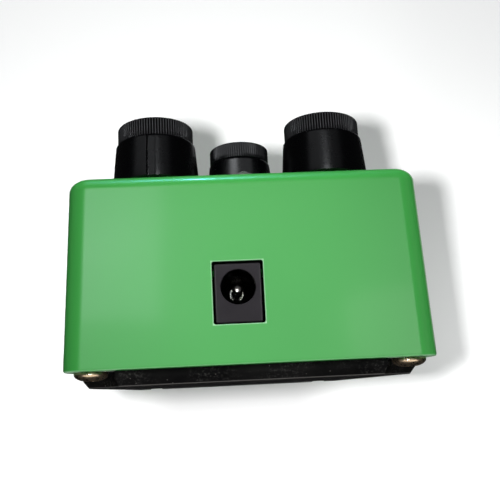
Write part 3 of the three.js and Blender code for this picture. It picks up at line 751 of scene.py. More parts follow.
def foot_corners(end):
    """Points of the two rounded bottom corners at one end."""
    points = []
    for z, inset in FOOT_STATIONS:
        radius = FOOT_RADIUS - inset
        lean = DRAFT * (z - MAT_T)
        for angle in np.linspace(0, math.pi / 2, 13):
            x = HALF_W - lean - FOOT_RADIUS + radius * math.cos(angle)
            y = HALF_L - lean - FOOT_RADIUS + radius * math.sin(angle)
            points += [(x, end * y, z), (-x, end * y, z)]
    return points


def foot_section(y):
    """Points of the foot where a block ends inside its neighbour."""
    return [(side * (HALF_W - DRAFT * (z - MAT_T) - inset), y, z)
            for side in SIDES for z, inset in FOOT_STATIONS]


def outer_block(name, points):
    return hull(name, [point for point in points if point[2] >= MAT_T - 1e-6])


def cavity(name, end, overlap_y, side_inset, corners):
    """Hollow of one block, open below; corners are pairs of planes."""
    radius, bottom = 1.6, 0.5
    points = [(side * (HALF_W - WALL + 0.08), overlap_y, bottom) for side in SIDES]
    lean = DRAFT * (bottom - MAT_T)
    for angle in np.linspace(0, math.pi / 2, 7):
        x = HALF_W - WALL - lean - radius + radius * math.cos(angle)
        y = HALF_L - WALL - lean - radius + radius * math.sin(angle)
        points += [(x, end * y, bottom), (-x, end * y, bottom)]
    for planes in corners:
        points += corner_balls(planes, radius, 20, side_inset=side_inset)
    return hull(name, points)


def soften_valley(ob):
    """Rounds the inner edge between the deck and the step."""
    bm = bmesh.new()
    bm.from_mesh(ob.data)
    valley = [edge for edge in bm.edges
              if len(edge.link_faces) == 2 and not edge.is_convex
              and edge.calc_face_angle(0) > math.radians(8)
              and all(abs(v.co.y - STEP_BOT_Y * MM) < 6e-3 and v.co.z > 26e-3
                      for v in edge.verts)]
    if valley:
        bmesh.ops.bevel(bm, geom=valley, offset=1.1 * MM, segments=5, profile=0.5,
                        affect="EDGES", clamp_overlap=True)
    bm.to_mesh(ob.data)
    bm.free()


def flared_cutter(name, half_x, half_y, radius, depth, flare, rise, matrix):
    """Rounded rectangular cutter whose mouth, at z 0, opens with a rounded lip."""
    rings = [rect_ring(half_x, half_y, radius, -depth)]
    for k in range(7):
        angle = math.pi / 2 * k / 6
        grow = flare * (1 - math.cos(angle))
        rings.append(rect_ring(half_x + grow, half_y + grow, radius + grow,
                               -flare + flare * math.sin(angle)))
    rings.append(rect_ring(half_x + flare, half_y + flare, radius + flare, rise))
    return loft(name, rings, matrix)


def build_casing():
    casing = outer_block("casing", (
        foot_corners(1) + foot_section(-5.0)
        + corner_balls([end_plane(1), panel_plane()], 4.0, 52, squash=0.70)
        + corner_balls([step_plane(), panel_plane()], 3.4, 52, squash=0.80)))
    front = outer_block("front_block", (
        foot_corners(-1) + foot_section(32.0)
        + corner_balls([end_plane(-1), deck_plane()], 3.2, 48)
        + corner_balls([cross_plane(35.0), deck_plane()], 3.2, 48)))
    boolean(casing, [front], "UNION")
    soften_valley(casing)
    panel, deck = panel_plane(WALL), deck_plane(WALL)
    boolean(casing, [
        cavity("rear_cavity", 1, -2.0, WALL,
               [(end_plane(1, WALL), panel), (step_plane(WALL), panel)]),
        cavity("front_cavity", -1, 34.0, WALL + 0.02,
               [(end_plane(-1, WALL), deck), (cross_plane(36.0), deck)])])

    # screw bosses, and a lug at each end of the hinge pin
    bosses = []
    for sx in SIDES:
        for sy in SIDES:
            bosses.append(cylinder("boss", "z", 3.6, 4.5, 16, (sx * SCREW_X, sy * SCREW_Y, 0),
                                   40))
        bosses.append(box("lug", side_span(sx, 29.5, 32.6), (5.4, 12.6), (25.1, 29.6)))
    boolean(casing, [join("bosses", bosses)], "UNION")

    # window in the leaning rear wall; local axes are -x, up the wall, outward
    lean = math.atan(DRAFT)
    to_rear = Matrix(((-1, 0, 0, DC_X),
                      (0, -math.sin(lean), math.cos(lean), HALF_L - DRAFT * (DC_Z - MAT_T)),
                      (0, math.cos(lean), math.sin(lean), DC_Z),
                      (0, 0, 0, 1)))
    well_y = -22.3
    to_deck = (Matrix.Translation((0, well_y, deck_z(well_y)))
               @ Matrix.Rotation(math.atan(DECK_SLOPE), 4, "X"))
    tools = [flared_cutter("window", WINDOW_X, WINDOW_Z, radius=0.45, depth=4.0, flare=0.14,
                           rise=1.2, matrix=to_rear),
             flared_cutter("treadle_well", 29.5, 35.5, radius=3.4, depth=9.0, flare=0.7,
                           rise=4.0, matrix=to_deck)]
    for side in SIDES:
        tools.append(cylinder("jack_hole", "x", 5.8, side * 36 - 6, side * 36 + 6,
                              (0, JACK_Y, JACK_Z), 64))
    for at, radius in ((LEVEL_AT, 3.8), (DRIVE_AT, 3.8), (TONE_AT, 3.8), (LAMP_AT, 2.25)):
        tools.append(cylinder("panel_hole", "z", radius, -8, 5, (*at, 0), matrix=TO_PANEL))
    for sx in SIDES:
        for sy in SIDES:
            tools.append(cylinder("screw_hole", "z", 1.75, 3, 13,
                                  (sx * SCREW_X, sy * SCREW_Y, 0), 32))
    boolean(casing, tools)
    boolean(casing, [cylinder("hinge_hole", "x", 1.53, -32.2, 32.2, (0, HINGE_Y, HINGE_Z), 40)])
    tidy(casing, 32)
    place(casing, "chassis", "paint", "casing", "casing")
    return casing


casing = build_casing()


# ---------------------------------------------------------------- knobs
class KnobShape(NamedTuple):
    height: float
    cap_radius: float
    cap_height: float
    shoulder_radius: float
    skirt_radius: float
    cavity_radius: float
    ridges: int
    rib_depth: float
    crest_highlight: float   # how pale the painted highlight on the rib crests is


# Kinds of profile row; a kind above 0 and up to 1 is that share of the rib depth.
PLAIN, SKIRT = 0, 2
SEGMENTS_PER_RIDGE = 8


def knob_profile(shape):
    """Rows of (radius, z, kind) from the cap's centre outwards, down and into the cavity."""
    top, bottom = shape.height, 0.55
    cap_r, skirt_r, hollow_r = shape.cap_radius, shape.skirt_radius, shape.cavity_radius
    cap_base = top - shape.cap_height
    skirt_top = cap_base - 0.70
    # slightly dished top with a rounded rim
    rows = [(0, top - 0.10, PLAIN), (cap_r * 0.30, top - 0.10, PLAIN),
            (cap_r * 0.80, top - 0.08, PLAIN), (cap_r - 0.60, top - 0.02, PLAIN)]
    for t in np.linspace(0, math.pi / 2, 7):
        rows.append((cap_r - 0.24 + 0.24 * math.sin(t), top - 0.24 + 0.24 * math.cos(t),
                     min(1.0, t / 1.2)))
    rows += [(cap_r, z, 1.0) for z in np.linspace(top - 0.45, cap_base + 0.02, 4)]
    rows.append((cap_r - 0.12, cap_base - 0.10, PLAIN))
    # rounded shoulder, then the flaring skirt
    shoulder_r = shape.shoulder_radius
    for t in np.linspace(0, math.pi / 2, 6):
        rows.append((shoulder_r - 0.55 + 0.55 * math.sin(t), skirt_top + 0.55 * math.cos(t),
                     SKIRT))
    for f in np.linspace(0.06, 0.97, 9):
        rows.append((shoulder_r + (skirt_r - shoulder_r) * f,
                     skirt_top + (bottom + 0.25 - skirt_top) * f, SKIRT))
    rows += [(skirt_r - 0.02, bottom + 0.22, SKIRT), (skirt_r - 0.22, bottom, SKIRT)]
    # hollow underside with a narrower bore
    return rows + [(hollow_r + 0.1, bottom, PLAIN), (hollow_r, bottom + 0.15, PLAIN),
                   (hollow_r, 3.9, PLAIN), (3.1, 3.9, PLAIN), (3.1, top - 3.4, PLAIN),
                   (0, top - 3.4, PLAIN)]


def skirt_radii(radius, angles, pointer):
    """A flat index band on the skirt, beside a fine groove at the pointer."""
    arc = np.arctan2(np.sin(angles - pointer), np.cos(angles - pointer)) * radius
    band = np.clip((arc - 0.15) / 0.12, 0, 1) * np.clip((1.75 - arc) / 0.2, 0, 1)
    middle = pointer + 0.95 / radius
    off = np.arctan2(np.sin(angles - middle), np.cos(angles - middle))
    flat = np.where(np.abs(off) < 0.3, (radius - 0.10) / np.cos(np.clip(off, -0.3, 0.3)), radius)
    groove = np.exp(-((arc - 0.02) / 0.11) ** 2)
    return radius * (1 - band) + np.minimum(flat, radius) * band - 0.34 * groove


def build_knob(name, body, at, clockwise, shape):
    """clockwise: degrees of the pointer from +Y, seen from above."""
    pointer = math.radians(90 - clockwise)
    rows = knob_profile(shape)

    def off_ridge(angles):
        """0 on a ridge, 1 in a groove."""
        turn = shape.ridges * angles / (2 * math.pi)
        return 2 * np.abs(turn - np.round(turn))

    def reshape(row, radius, angles):
        kind = rows[row][2]
        if kind == SKIRT:
            return skirt_radii(radius, angles, pointer)
        if kind > 0:
            return radius - kind * shape.rib_depth * off_ridge(angles) ** 2.4
        return np.full(len(angles), float(radius))

    to_knob = TO_PANEL @ Matrix.Translation((*at, 0))
    points, faces = revolve([row[:2] for row in rows], shape.ridges * SEGMENTS_PER_RIDGE,
                            reshape)
    knob = mesh_object(name, points, faces, to_knob)

    # slot for the index line in the cap's top
    top, cap_r = shape.height, shape.cap_radius
    to_line = to_knob @ Matrix.Rotation(pointer, 4, "Z")

    def line_ring(shrink, half_width, radius, z):
        return rect_ring(cap_r * 0.30 - shrink, half_width, radius, z, 5, (cap_r * 0.63, 0))

    boolean(knob, [loft("slot", [line_ring(0, 0.42, 0.3, top - 0.32),
                                 line_ring(0, 0.42, 0.3, top + 0.6)], to_line)])

    # crests of the ribs get a painted highlight, a little paler than the grooves
    from_panel = TO_PANEL.inverted()
    verts = moved(np.array([vert.co / MM for vert in knob.data.vertices]), from_panel)
    off_x, off_y = verts[:, 0] - at[0], verts[:, 1] - at[1]
    crest = np.clip(1 - off_ridge(np.arctan2(off_y, off_x)) * 1.6, 0, 1)
    crest = crest * (np.hypot(off_y, off_x) > cap_r - 0.15) * shape.crest_highlight
    attribute = knob.data.attributes.new("crest", "FLOAT", "POINT")
    attribute.data.foreach_set("value", crest.astype(np.float32))
    centres = moved(np.array([face.center / MM for face in knob.data.polygons]), from_panel)
    is_cap = centres[:, 2] > top - shape.cap_height - 0.09

    tidy(knob, 38, weighted=False)
    place(knob, body, "skirt cap", "knob", name)
    knob.data.polygons.foreach_set("material_index", is_cap.astype(int).tolist())
    line = loft(name + "_index_line", [line_ring(0.03, 0.39, 0.28, top - 0.31),
                                       line_ring(0.03, 0.39, 0.28, top - 0.16),
                                       line_ring(0.08, 0.34, 0.24, top - 0.13)], to_line)
    tidy(line, 30)
    place(line, body, "line", "knob")


LARGE_KNOB = KnobShape(height=KNOB_H, cap_radius=7.82, cap_height=3.56, shoulder_radius=8.25,
                       skirt_radius=8.95, cavity_radius=7.2, ridges=88, rib_depth=0.30,
                       crest_highlight=1.0)
SMALL_KNOB = KnobShape(height=TONE_H, cap_radius=6.26, cap_height=3.2, shoulder_radius=6.5,
                       skirt_radius=6.9, cavity_radius=5.7, ridges=78, rib_depth=0.13,
                       crest_highlight=0.22)
build_knob("level_knob", "level_control", LEVEL_AT, 8, LARGE_KNOB)
build_knob("drive_knob", "drive_control", DRIVE_AT, -110, LARGE_KNOB)
build_knob("tone_knob", "tone_control", TONE_AT, 100, SMALL_KNOB)


# ---------------------------------------------------------------- rubber underside
# (z, inset) of the pad's edge, from the ground up
PAD_STATIONS = ((0.0, 1.55), (0.10, 1.40), (0.30, 1.26), (1.35, 0.42), (1.6, 0.24),
                (1.95, 0.14), (MAT_T, 0.0))


def build_pad(name, ys, half_x, cutters, replaced):
    """The part of the full rubber outline that lies within ys and half_x."""
    points = []
    for z, inset in PAD_STATIONS:
        points += rect_ring(32.8 - inset, 60.4 - inset, 5.6 - inset * 0.4, z, 12)
    pad = hull(name, points)
    boolean(pad, [box("keep", (-half_x, half_x), ys, (-2, 6))], "INTERSECT")
    if cutters:
        boolean(pad, cutters)
    tidy(pad, 34, bevel=0.22, bevel_angle=55)
    place(pad, "chassis", "rubber", "mat", replaced)


notches = [cylinder("notch", "z", 6.2, -1, 5, (sx * (SCREW_X + 0.8), sy * (SCREW_Y + 0.8), 0), 64)
           for sx in SIDES for sy in SIDES]
opening = box("opening", (-28.2, 28.2), (-55.2, -20.8), (-1, 5))
build_pad("rubber_pad", (-53.4, 70), 40, notches + [opening], "rubber_mat")
build_pad("rubber_toe_strip", (-70, -55.2), 24.9, [], "rubber_mat_toe")


# ---------------------------------------------------------------- base screws
def screw_profile():
    """(radius, z) from the tip at the top, down the thread and over the domed head."""
    profile = [(0, 12.4), (1.2, 12.4), (1.62, 11.9)]
    z = 11.6
    while z > 3.6:
        profile += [(1.62, z), (1.34, z - 0.22), (1.62, z - 0.45)]
        z -= 0.62
    return profile + [(1.5, 3.02), (2.95, 3.0), (3.14, 2.92), (3.22, 2.75), (3.24, 2.55),
                      (3.16, 2.30), (2.92, 2.0), (2.55, 1.74), (2.0, 1.50), (1.3, 1.36),
                      (0.6, 1.31), (0, 1.30)]


def build_screw(name, x, y, turn):
    screw = turned(name, screw_profile(), 56, at=(x, y, 0))
    cross = []
    for quarter in (0, math.pi / 2):
        matrix = Matrix.Translation((x, y, 0)) @ Matrix.Rotation(turn + quarter, 4, "Z")
        cross.append(loft("recess", [rect_ring(1.75, 0.42, 0.1, 0.5, 3),
                                     rect_ring(1.7, 0.40, 0.1, 1.45, 3),
                                     rect_ring(0.7, 0.26, 0.1, 2.45, 3)], matrix))
    boolean(screw, cross)
    tidy(screw, 40, weighted=False)
    place(screw, "chassis", "bronze", "screw", name)


# signs of x and y, turn of the recess in radians
for i, (sx, sy, turn) in enumerate(((1, 1, 0.35), (-1, 1, 1.1), (-1, -1, 0.7), (1, -1, 0.1))):
    build_screw(f"base_screw_{i + 1}", sx * SCREW_X, sy * SCREW_Y, turn)


# ---------------------------------------------------------------- power socket
DC_AT = (DC_X, DC_FACE_Y, DC_BORE_Z)


def build_power_socket():
    housing = box("power_socket", (DC_X - 4.4, DC_X + 4.4), (DC_FACE_Y - 14, DC_FACE_Y),
                  (BOARD_TOP_Z, 21.85))
    tidy(housing, 30, weighted=False, bevel=0.38, segments=3)
    bore = [(0, -12.6), (DC_BORE_R, -12.6), (DC_BORE_R, -0.22), (DC_BORE_R + 0.07, -0.10),
            (DC_BORE_R + 0.22, 0.02), (DC_BORE_R + 0.22, 0.6), (0, 0.6)]
    boolean(housing, [turned("bore", bore, 72, "y", DC_AT),
                      box("slit", (DC_X - 1.1, DC_X + 1.1), (DC_FACE_Y - 15, DC_FACE_Y - 12.4),
                          (DC_BORE_Z + 2.3, DC_BORE_Z + 3.15))])
    tidy(housing, 30)
    place(housing, "chassis", "socket", "plastic", "dc_jack_body")

    pin = turned("power_socket_pin", [(0, -14.5), (1.05, -14.5), (1.05, -3.55), (0.98, -3.25),
                                      (0.80, -3.06), (0.5, -2.97), (0, -2.95)], 48, "y", DC_AT)
    tidy(pin, 40, weighted=False)
    place(pin, "chassis", "nickel", "nickel", "dc_jack_pin")

    # split ring around the foot of the pin
    collar = turned("power_socket_collar", [
        (1.12, -12.55), (1.62, -12.55), (1.66, -12.35), (1.58, -12.05), (1.42, -11.95),
        (1.26, -12.05), (1.12, -12.3)], 48, "y", DC_AT)
    boolean(collar, [box("split", (DC_X - 0.62, DC_X + 0.62), (DC_FACE_Y - 13, DC_FACE_Y - 11),
                         (DC_BORE_Z - 2.2, DC_BORE_Z - 0.9))])
    tidy(collar, 60, weighted=False)
    place(collar, "chassis", "polished", "nickel")
    return housing, collar


power_socket, socket_collar = build_power_socket()


# ---------------------------------------------------------------- side sockets
JACK_AT = (0, JACK_Y, JACK_Z)
NUT_ACROSS_FLATS = 13


def bush_profile():
    """(radius, x) of the threaded bush."""
    profile = [(JACK_BORE_R, 29.5), (5.5, 31.2)]
    x = 31.6
    while x < 36.3:
        profile += [(5.5, x), (5.18, x + 0.25)]
        x += 0.5
    return profile + [(5.46, 36.4), (5.40, 36.7), (5.2, 36.9), (3.75, 36.9), (3.45, 36.75),
                      (JACK_BORE_R, 36.4)]


def build_side_socket(name, side):
    def span(near, far):
        return side_span(side, near, far)

    bush = turned("bush", bush_profile(), 72, "x", JACK_AT, side)
    body = box(f"{name}_socket_body", span(6.6, 31.6), (JACK_Y - 8, JACK_Y + 8),
               (BOARD_TOP_Z, 24.5))
    tidy(body, 30, weighted=False, bevel=0.5, segments=3)
    boolean(body, [
        box("hollow", span(9, 29.2), (JACK_Y - 5.6, JACK_Y + 5.6), (JACK_Z - 4.6, JACK_Z + 5.2)),
        cylinder("bore", "x", JACK_BORE_R, *span(25, 33), JACK_AT, 72),
        box("slit", span(8, 30), (JACK_Y + 5, JACK_Y + 9), (JACK_Z - 3, JACK_Z - 1))])
    boolean(body, [bush], "UNION")
    tidy(body, 36)
    place(body, "chassis", "black", "plastic", f"{name}_jack_body")

    # hexagonal nut with turned chamfers
    nut_r = NUT_ACROSS_FLATS / 2 / math.cos(math.pi / 6)
    corners = [math.radians(60 * i + 30) for i in range(6)]
    nut = loft(f"{name}_socket_nut", [
        [(side * x, JACK_Y + nut_r * math.sin(q), JACK_Z - nut_r * math.cos(q)) for q in corners]
        for x in (35.31, 37.0)])
    chamfers = [(0, 35.0), (6.9, 35.0), (7.6, 35.65), (7.6, 36.62), (6.72, 37.3), (0, 37.3)]
    boolean(nut, [turned("cone", chamfers, 96, "x", JACK_AT, side)], "INTERSECT")
    hole = [(0, 34), (5.62, 34), (5.62, 36.6), (5.9, 37.0), (5.9, 38), (0, 38)]
    boolean(nut, [turned("hole", hole, 72, "x", JACK_AT, side)])
    tidy(nut, 30, bevel=0.06, bevel_angle=28)
    place(nut, "chassis", "nickel", "nickel", f"{name}_jack_nut")

    washer = turned(f"{name}_socket_washer", [(5.7, 34.82), (7.3, 34.82), (7.4, 34.9),
                                              (7.4, 35.2), (7.3, 35.29), (5.7, 35.29)],
                    72, "x", JACK_AT, side)
    tidy(washer, 30)
    place(washer, "chassis", "nickel", "nickel", f"{name}_jack_washer")


build_side_socket("input", 1)
build_side_socket("output", -1)

# ---------------------------------------------------------------- treadle
# Built around the hinge axis, then tilted onto the casing.
PLATE_HALF_W, PLATE_FRONT_Y, PLATE_REAR_Y = 28.9, -66.2, 3.5
PLATE_Y = (PLATE_FRONT_Y + PLATE_REAR_Y) / 2
PLATE_HALF_L = (PLATE_REAR_Y - PLATE_FRONT_Y) / 2


def move_to_treadle(ob):
    ob.data.transform(Matrix.Scale(MM, 4) @ TO_TREADLE @ Matrix.Scale(1 / MM, 4))


def build_treadle_plate():
    def ring(inset, z, radius=3.4, steps=12):
        return rect_ring(PLATE_HALF_W - inset, PLATE_HALF_L - inset, radius - inset, z, steps,
                         (0, PLATE_Y))

    edge = 1.5  # rounding of the top edge
    points = []
    for z, inset in ((-1.6, 0.25), (-1.45, 0.05), (-1.2, 0.0), (TREADLE_TOP - edge, 0.0)):
        points += ring(inset, z)
    for t in np.linspace(0, math.pi / 2, 9):
        points += ring(edge - edge * math.cos(t), TREADLE_TOP - edge + edge * math.sin(t))
    plate = hull("treadle_plate", points)
    boolean(plate, [loft("underside", [ring(2, z, radius=3.6, steps=6) for z in (-4, 3.4)])])
    # rounded ears that hang around the hinge pin
    ears = []
    for side in SIDES:
        xs = side_span(side, 25.9, PLATE_HALF_W - 0.3)
        ears.append(hull("ear", [(x, 2.5 * math.cos(q), 2.5 * math.sin(q)) for x in xs
                                 for q in np.linspace(math.pi, 2 * math.pi, 25)]
                         + [(x, y, 3.6) for x in xs for y in (-2.5, 2.5)]))
    boolean(plate, [join("ears", ears)], "UNION")
    boolean(plate, [cylinder("pin_hole", "x", 1.56, -31, 31, (0, 0, 0))])
    move_to_treadle(plate)
    tidy(plate, 32)
    place(plate, "treadle", "paint", "treadle", "treadle_plate")
    return plate


def build_treadle_grip():
    """Slab with a raised border and rounded ribs across it."""
    base = TREADLE_TOP + 0.03
    grip_y, rib_count, rib_pitch = -34, 17, 3.05

    def ring(inset, z):
        return rect_ring(25 - inset, 28 - inset, 3 - inset, z, 10, (0, grip_y))

    points = ring(0, base)
    for t in np.linspace(0, math.pi / 2, 5):
        points += ring(0.4 - 0.4 * math.cos(t), base + 0.35 + 0.4 * math.sin(t))
    grip = hull("treadle_grip", points)
    inner_xs, outer_xs = (22.6, -22.6), (23.4, -23.4)
    foot = base + 0.3
    ribs = []
    for k in range(rib_count):
        y = grip_y + (k - rib_count // 2) * rib_pitch
        points = [(x, y + side * 0.8, foot) for x in inner_xs for side in SIDES]
        points += [(x, y + side * 0.6, foot) for x in outer_xs for side in SIDES]
        for q in np.linspace(0, math.pi, 9):
            points += [(x, y + 0.8 * math.cos(q), base + 0.72 + 0.62 * math.sin(q))
                       for x in inner_xs]
            points += [(x, y + 0.45 * math.cos(q), base + 0.72 + 0.25 * math.sin(q))
                       for x in outer_xs]
        ribs.append(hull("rib", points))
    border = loft("border", [ring(0.4, foot), ring(0.4, base + 1.15), ring(0.7, base + 1.35)])
    boolean(border, [loft("border_hole", [
        rect_ring(23.5, 26.5, 1.6, z, 10, (0, grip_y)) for z in (base - 1, base + 3)])])
    boolean(grip, [border, join("ribs", ribs)], "UNION")
    move_to_treadle(grip)
    tidy(grip, 34)
    place(grip, "treadle", "grip", "grip", "treadle_grip")


treadle = build_treadle_plate()
build_treadle_grip()


# ---------------------------------------------------------------- lamp and its bezel
def build_lamp():
    to_lamp = TO_PANEL @ Matrix.Translation((*LAMP_AT, 0))
    radius, dome_r, dome_z = 1.5, 1.55, 0.22
    dome = [(min(dome_r * math.sin(t), radius), dome_z + dome_r * math.cos(t))
            for t in np.linspace(0, math.pi / 2, 16)]
    lamp = turned("lamp", dome + [(radius, -3.4), (1.9, -3.45), (1.9, -4.2), (0, -4.2)], 56,
                  matrix=to_lamp)
    legs = [box("leg", (x - 0.25, x + 0.25), (-0.25, 0.25), (-11.9, -4.1), to_lamp)
            for x in (-1.27, 1.27)]
    boolean(lamp, [join("legs", legs)], "UNION")
    tidy(lamp, 35, weighted=False)
    place(lamp, "chassis", "lamp", "lamp", "led")
    bezel = turned("lamp_bezel", [
        (1.62, -3.2), (2.1, -3.2), (2.1, 0.08), (2.55, 0.08), (2.6, 0.16), (2.56, 0.36),
        (2.4, 0.56), (2.15, 0.70), (1.9, 0.74), (1.7, 0.68), (1.62, 0.5)], 56, matrix=to_lamp)
    tidy(bezel, 40, weighted=False)
    place(bezel, "chassis", "bezel", "plastic", "led_bezel")


build_lamp()


# ---------------------------------------------------------------- battery lid
def build_battery_lid():
    """Lid with a round front edge, drilled for its pin, a thumb dish and five grooves below."""
    pin_y, pin_z = -52.5, 4.0
    section = [(-21.6, 3.12), (-21.6, 4.7), (-21.9, 5.0)]
    section += [(pin_y + math.cos(math.radians(q)), pin_z + math.sin(math.radians(q)))
                for q in np.linspace(90, 270, 25)]
    section.append((-21.75, 3.0))
    lid = loft("battery_lid", [[(x, y, z) for y, z in section] for x in (-27.1, 27.1)])
    dish = [(0, 3.85), (2.2, 3.80), (3.8, 3.62), (4.6, 3.34), (5.0, 2.9), (5.0, 2.0), (0, 2.0)]
    cutters = [cylinder("pin_hole", "x", 0.67, -30, 30, (0, pin_y, pin_z), 32),
               turned("dish", dish, 48, at=(0, -25.6, 0))]
    for k in range(5):
        cutters.append(box("groove", (-9, 9), (-33.5 - k * 2.2, -32.7 - k * 2.2), (2.5, 3.35)))
    boolean(lid, [join("lid_cutters", cutters)])
    tidy(lid, 34, bevel=0.12, bevel_angle=50)
    place(lid, "battery_lid", "black", "door", "battery_door")


build_battery_lid()


# ---------------------------------------------------------------- return spring
def build_spring():
    radius, centre_y = 3.6, -16
    along = np.linspace(0, 1, 330)
    angle = 2 * math.pi * (7.5 * along)
    # close coils at both ends, open between
    z = np.interp(along, [0, 0.13, 0.87, 1], [13.55, 14.3, 28.2, 28.85])
    path = np.c_[radius * np.cos(angle), centre_y + radius * np.sin(angle), z]
    spring = sweep("treadle_return_spring", path, 0.4, 12)
    tidy(spring, 50, weighted=False)
    place(spring, "chassis", "nickel", "nickel", "treadle_spring")
    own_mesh(spring)


build_spring()

# ---------------------------------------------------------------- battery wires
# pole, material, slot, points the wire runs through
WIRES = (
    ("positive", "red", "wire_red",
     [[26.9, -29.5, 15], [28.6, -27, 14.2], [29.6, -21, 12.6], [27.5, -12, 13.6],
      [22, -5.5, 13.4], [20, -4.4, 11.2]]),
    ("negative", "blackwire", "wire_black",
     [[26.9, -31.5, 12], [29.0, -27.5, 10.2], [30.2, -20, 8.6], [29.6, -13.5, 11.6],
      [26.4, -8.2, 13.6], [24.2, -7.2, 11.2]]),
)
for pole, material, slot, knots in WIRES:
    wire = sweep(f"battery_wire_{pole}", catmull_rom(knots), 0.62, 14)
    tidy(wire, 50, weighted=False)
    place(wire, "chassis", material, slot, f"battery_lead_{pole}")


# ---------------------------------------------------------------- capacitors, switch button
def build_board_parts():
    base = BOARD_TOP_Z
    can = turned("electrolytic_can", [
        (0, base), (3.9, base), (4.0, base + 0.1), (4.0, base + 1.1), (3.72, base + 1.45),
        (3.72, base + 1.75), (4.0, base + 2.1), (4.0, base + 9.6), (3.8, base + 9.92),
        (3.4, base + 9.98), (3.3, base + 9.8), (0, base + 9.8)], 56, at=(-22.5, 44, 0))
    tidy(can, 35, weighted=False)
    place(can, "chassis", "black", "component", "electrolytic_capacitor")
    film = box("film_box", (-13.4, -6.2), (43.2, 46.8), (base, base + 7.2))
    tidy(film, 30, bevel=0.7, segments=4)
    place(film, "chassis", "film", "film", "film_capacitor")
    button = turned("switch_button", [(0, 13), (2.5, 13), (2.5, 24.7), (2.42, 25.05),
                                      (2.2, 25.28), (1.8, 25.4), (0, 25.4)], 48, at=(0, -3, 0))
    tidy(button, 35, weighted=False)
    place(button, "plunger", "nickel", "nickel", "switch_plunger")


build_board_parts()

# ---------------------------------------------------------------- CAD nodes that stay
# node: (material, bevel in mm)
KEPT_NODES = {
    "base_plate": ("steel", 0.15), "battery_door_pin": ("nickel", 0),
    "battery": ("battery", 0.3), "battery_snap": ("black", 0.3),
    "main_board": ("board", 0.1), "control_board": ("board", 0.1),
    "op_amp": ("black", 0.15), "dc_jack_spring": ("nickel", 0.05),
    "board_link": ("flex", 0.1), "push_pad": ("grip", 0.2),
    "hinge_pin": ("nickel", 0), "spring_seat": ("black", 0.2),
    "switch_body": ("black", 0.25), "input_jack_tip_spring": ("nickel", 0.04),
    "output_jack_tip_spring": ("nickel", 0.04),
}
for i in range(1, 5):
    KEPT_NODES[f"board_spacer_{i}"] = ("black", 0.15)
for control in ("level", "drive", "tone"):
    KEPT_NODES[f"{control}_pot_body"] = ("zinc", 0.25)
    KEPT_NODES[f"{control}_pot_washer"] = ("nickel", 0.05)
    KEPT_NODES[f"{control}_pot_nut"] = ("nickel", 0.15)
    KEPT_NODES[f"{control}_pot_shaft"] = ("nickel", 0.15)
for name, (material, bevel) in KEPT_NODES.items():
    node = frame["nodes"][name]
    if not node.material_slots:
        node.data.materials.append(MATERIALS[material])
    for material_slot in node.material_slots:
        material_slot.material = MATERIALS[material]
    if bevel:
        add_bevel(node, bevel, segments=2, angle=40)
    add_weighted_normals(node)

# ---------------------------------------------------------------- stage
STAGE_ALBEDO = 0.92
BACKDROP_WHITE = (0.97, 0.985, 1.0)


def wall_grey(nodes, position):
    """Albedo of the wall, with painted shade: a painted contact shadow low behind the pedal, and
    painted shade out towards -X.
    """
    x, _, z = nodes.split(position)
    contact_shadow = nodes.map_range(nodes.size(nodes.add(z, 0.0035)), 0.0, 0.011, low=0.70, high=1.0)
    # painted shade out towards -X, where the pedal's shadow falls
    side = nodes.map_range(x, -0.085, -0.045, low=0.95, high=1.0)
    middle = nodes.map_range(nodes.size(x), 0.018, 0.042, low=1.0, high=0.0)
    contact_shadow = nodes.sub(1.0, nodes.mul(nodes.sub(1.0, contact_shadow), middle))
    return nodes.grey(nodes.mul(nodes.mul(contact_shadow, side), STAGE_ALBEDO))


def low_rear_view(nodes, incoming, seen):
    """Narrows 'seen' to level rays from a camera that stands behind the pedal."""
    level = nodes.map_range(nodes.split(incoming)[2], 0.140, 0.165, low=1.0, high=0.0,
                            kind="LINEAR")
    seen = nodes.mul(seen, level)
    hit = nodes.node("NewGeometry").outputs
    length = nodes.node("LightPath").outputs["Ray Length"]
    back = nodes.out("VectorMath", {0: hit["Incoming"], "Scale": length}, operation="SCALE")
    camera_at = nodes.out("VectorMath", {0: hit["Position"], 1: back}, operation="ADD")
    direction = nodes.out("VectorMath", {0: camera_at}, operation="NORMALIZE")
    match = nodes.node("VectorMath", {0: direction, 1: (0.0316, 0.9994, -0.0079)},
                       operation="DOT_PRODUCT").outputs["Value"]
    return nodes.mul(seen, nodes.more(match, 0.975))


def stage_material(name, upright):
    """White sheet that only the camera sees, from its front, fading into even white."""
    material = bpy.data.materials.new(name)
    nodes = Nodes(material)
    geometry = nodes.node("NewGeometry").outputs
    diffuse = nodes.node("BsdfDiffuse", {0: STAGE_ALBEDO})
    seen = nodes.mul(nodes.node("LightPath").outputs["Is Camera Ray"],
                     nodes.sub(1.0, geometry["Backfacing"]))
    if upright:
        nodes.feed(diffuse, {0: wall_grey(nodes, geometry["Position"])})
        seen = low_rear_view(nodes, geometry["Incoming"], seen)
    glow = nodes.out("Emission", {"Color": 1, "Strength": 0.02})
    lit = nodes.out("AddShader", {0: diffuse.outputs[0], 1: glow})
    distance = nodes.node("VectorMath", {0: geometry["Position"]},
                          operation="LENGTH").outputs["Value"]
    fade = nodes.map_range(distance, 0.13, 0.34, low=0.0, high=1.0)
    white = nodes.out("Emission", {"Color": BACKDROP_WHITE, "Strength": 1.0})
    sheet = nodes.out("MixShader", {0: fade, 1: lit, 2: white})
    clear = nodes.out("BsdfTransparent")
    nodes.node("OutputMaterial", {0: nodes.out("MixShader", {0: seen, 1: clear, 2: sheet})})
    return material


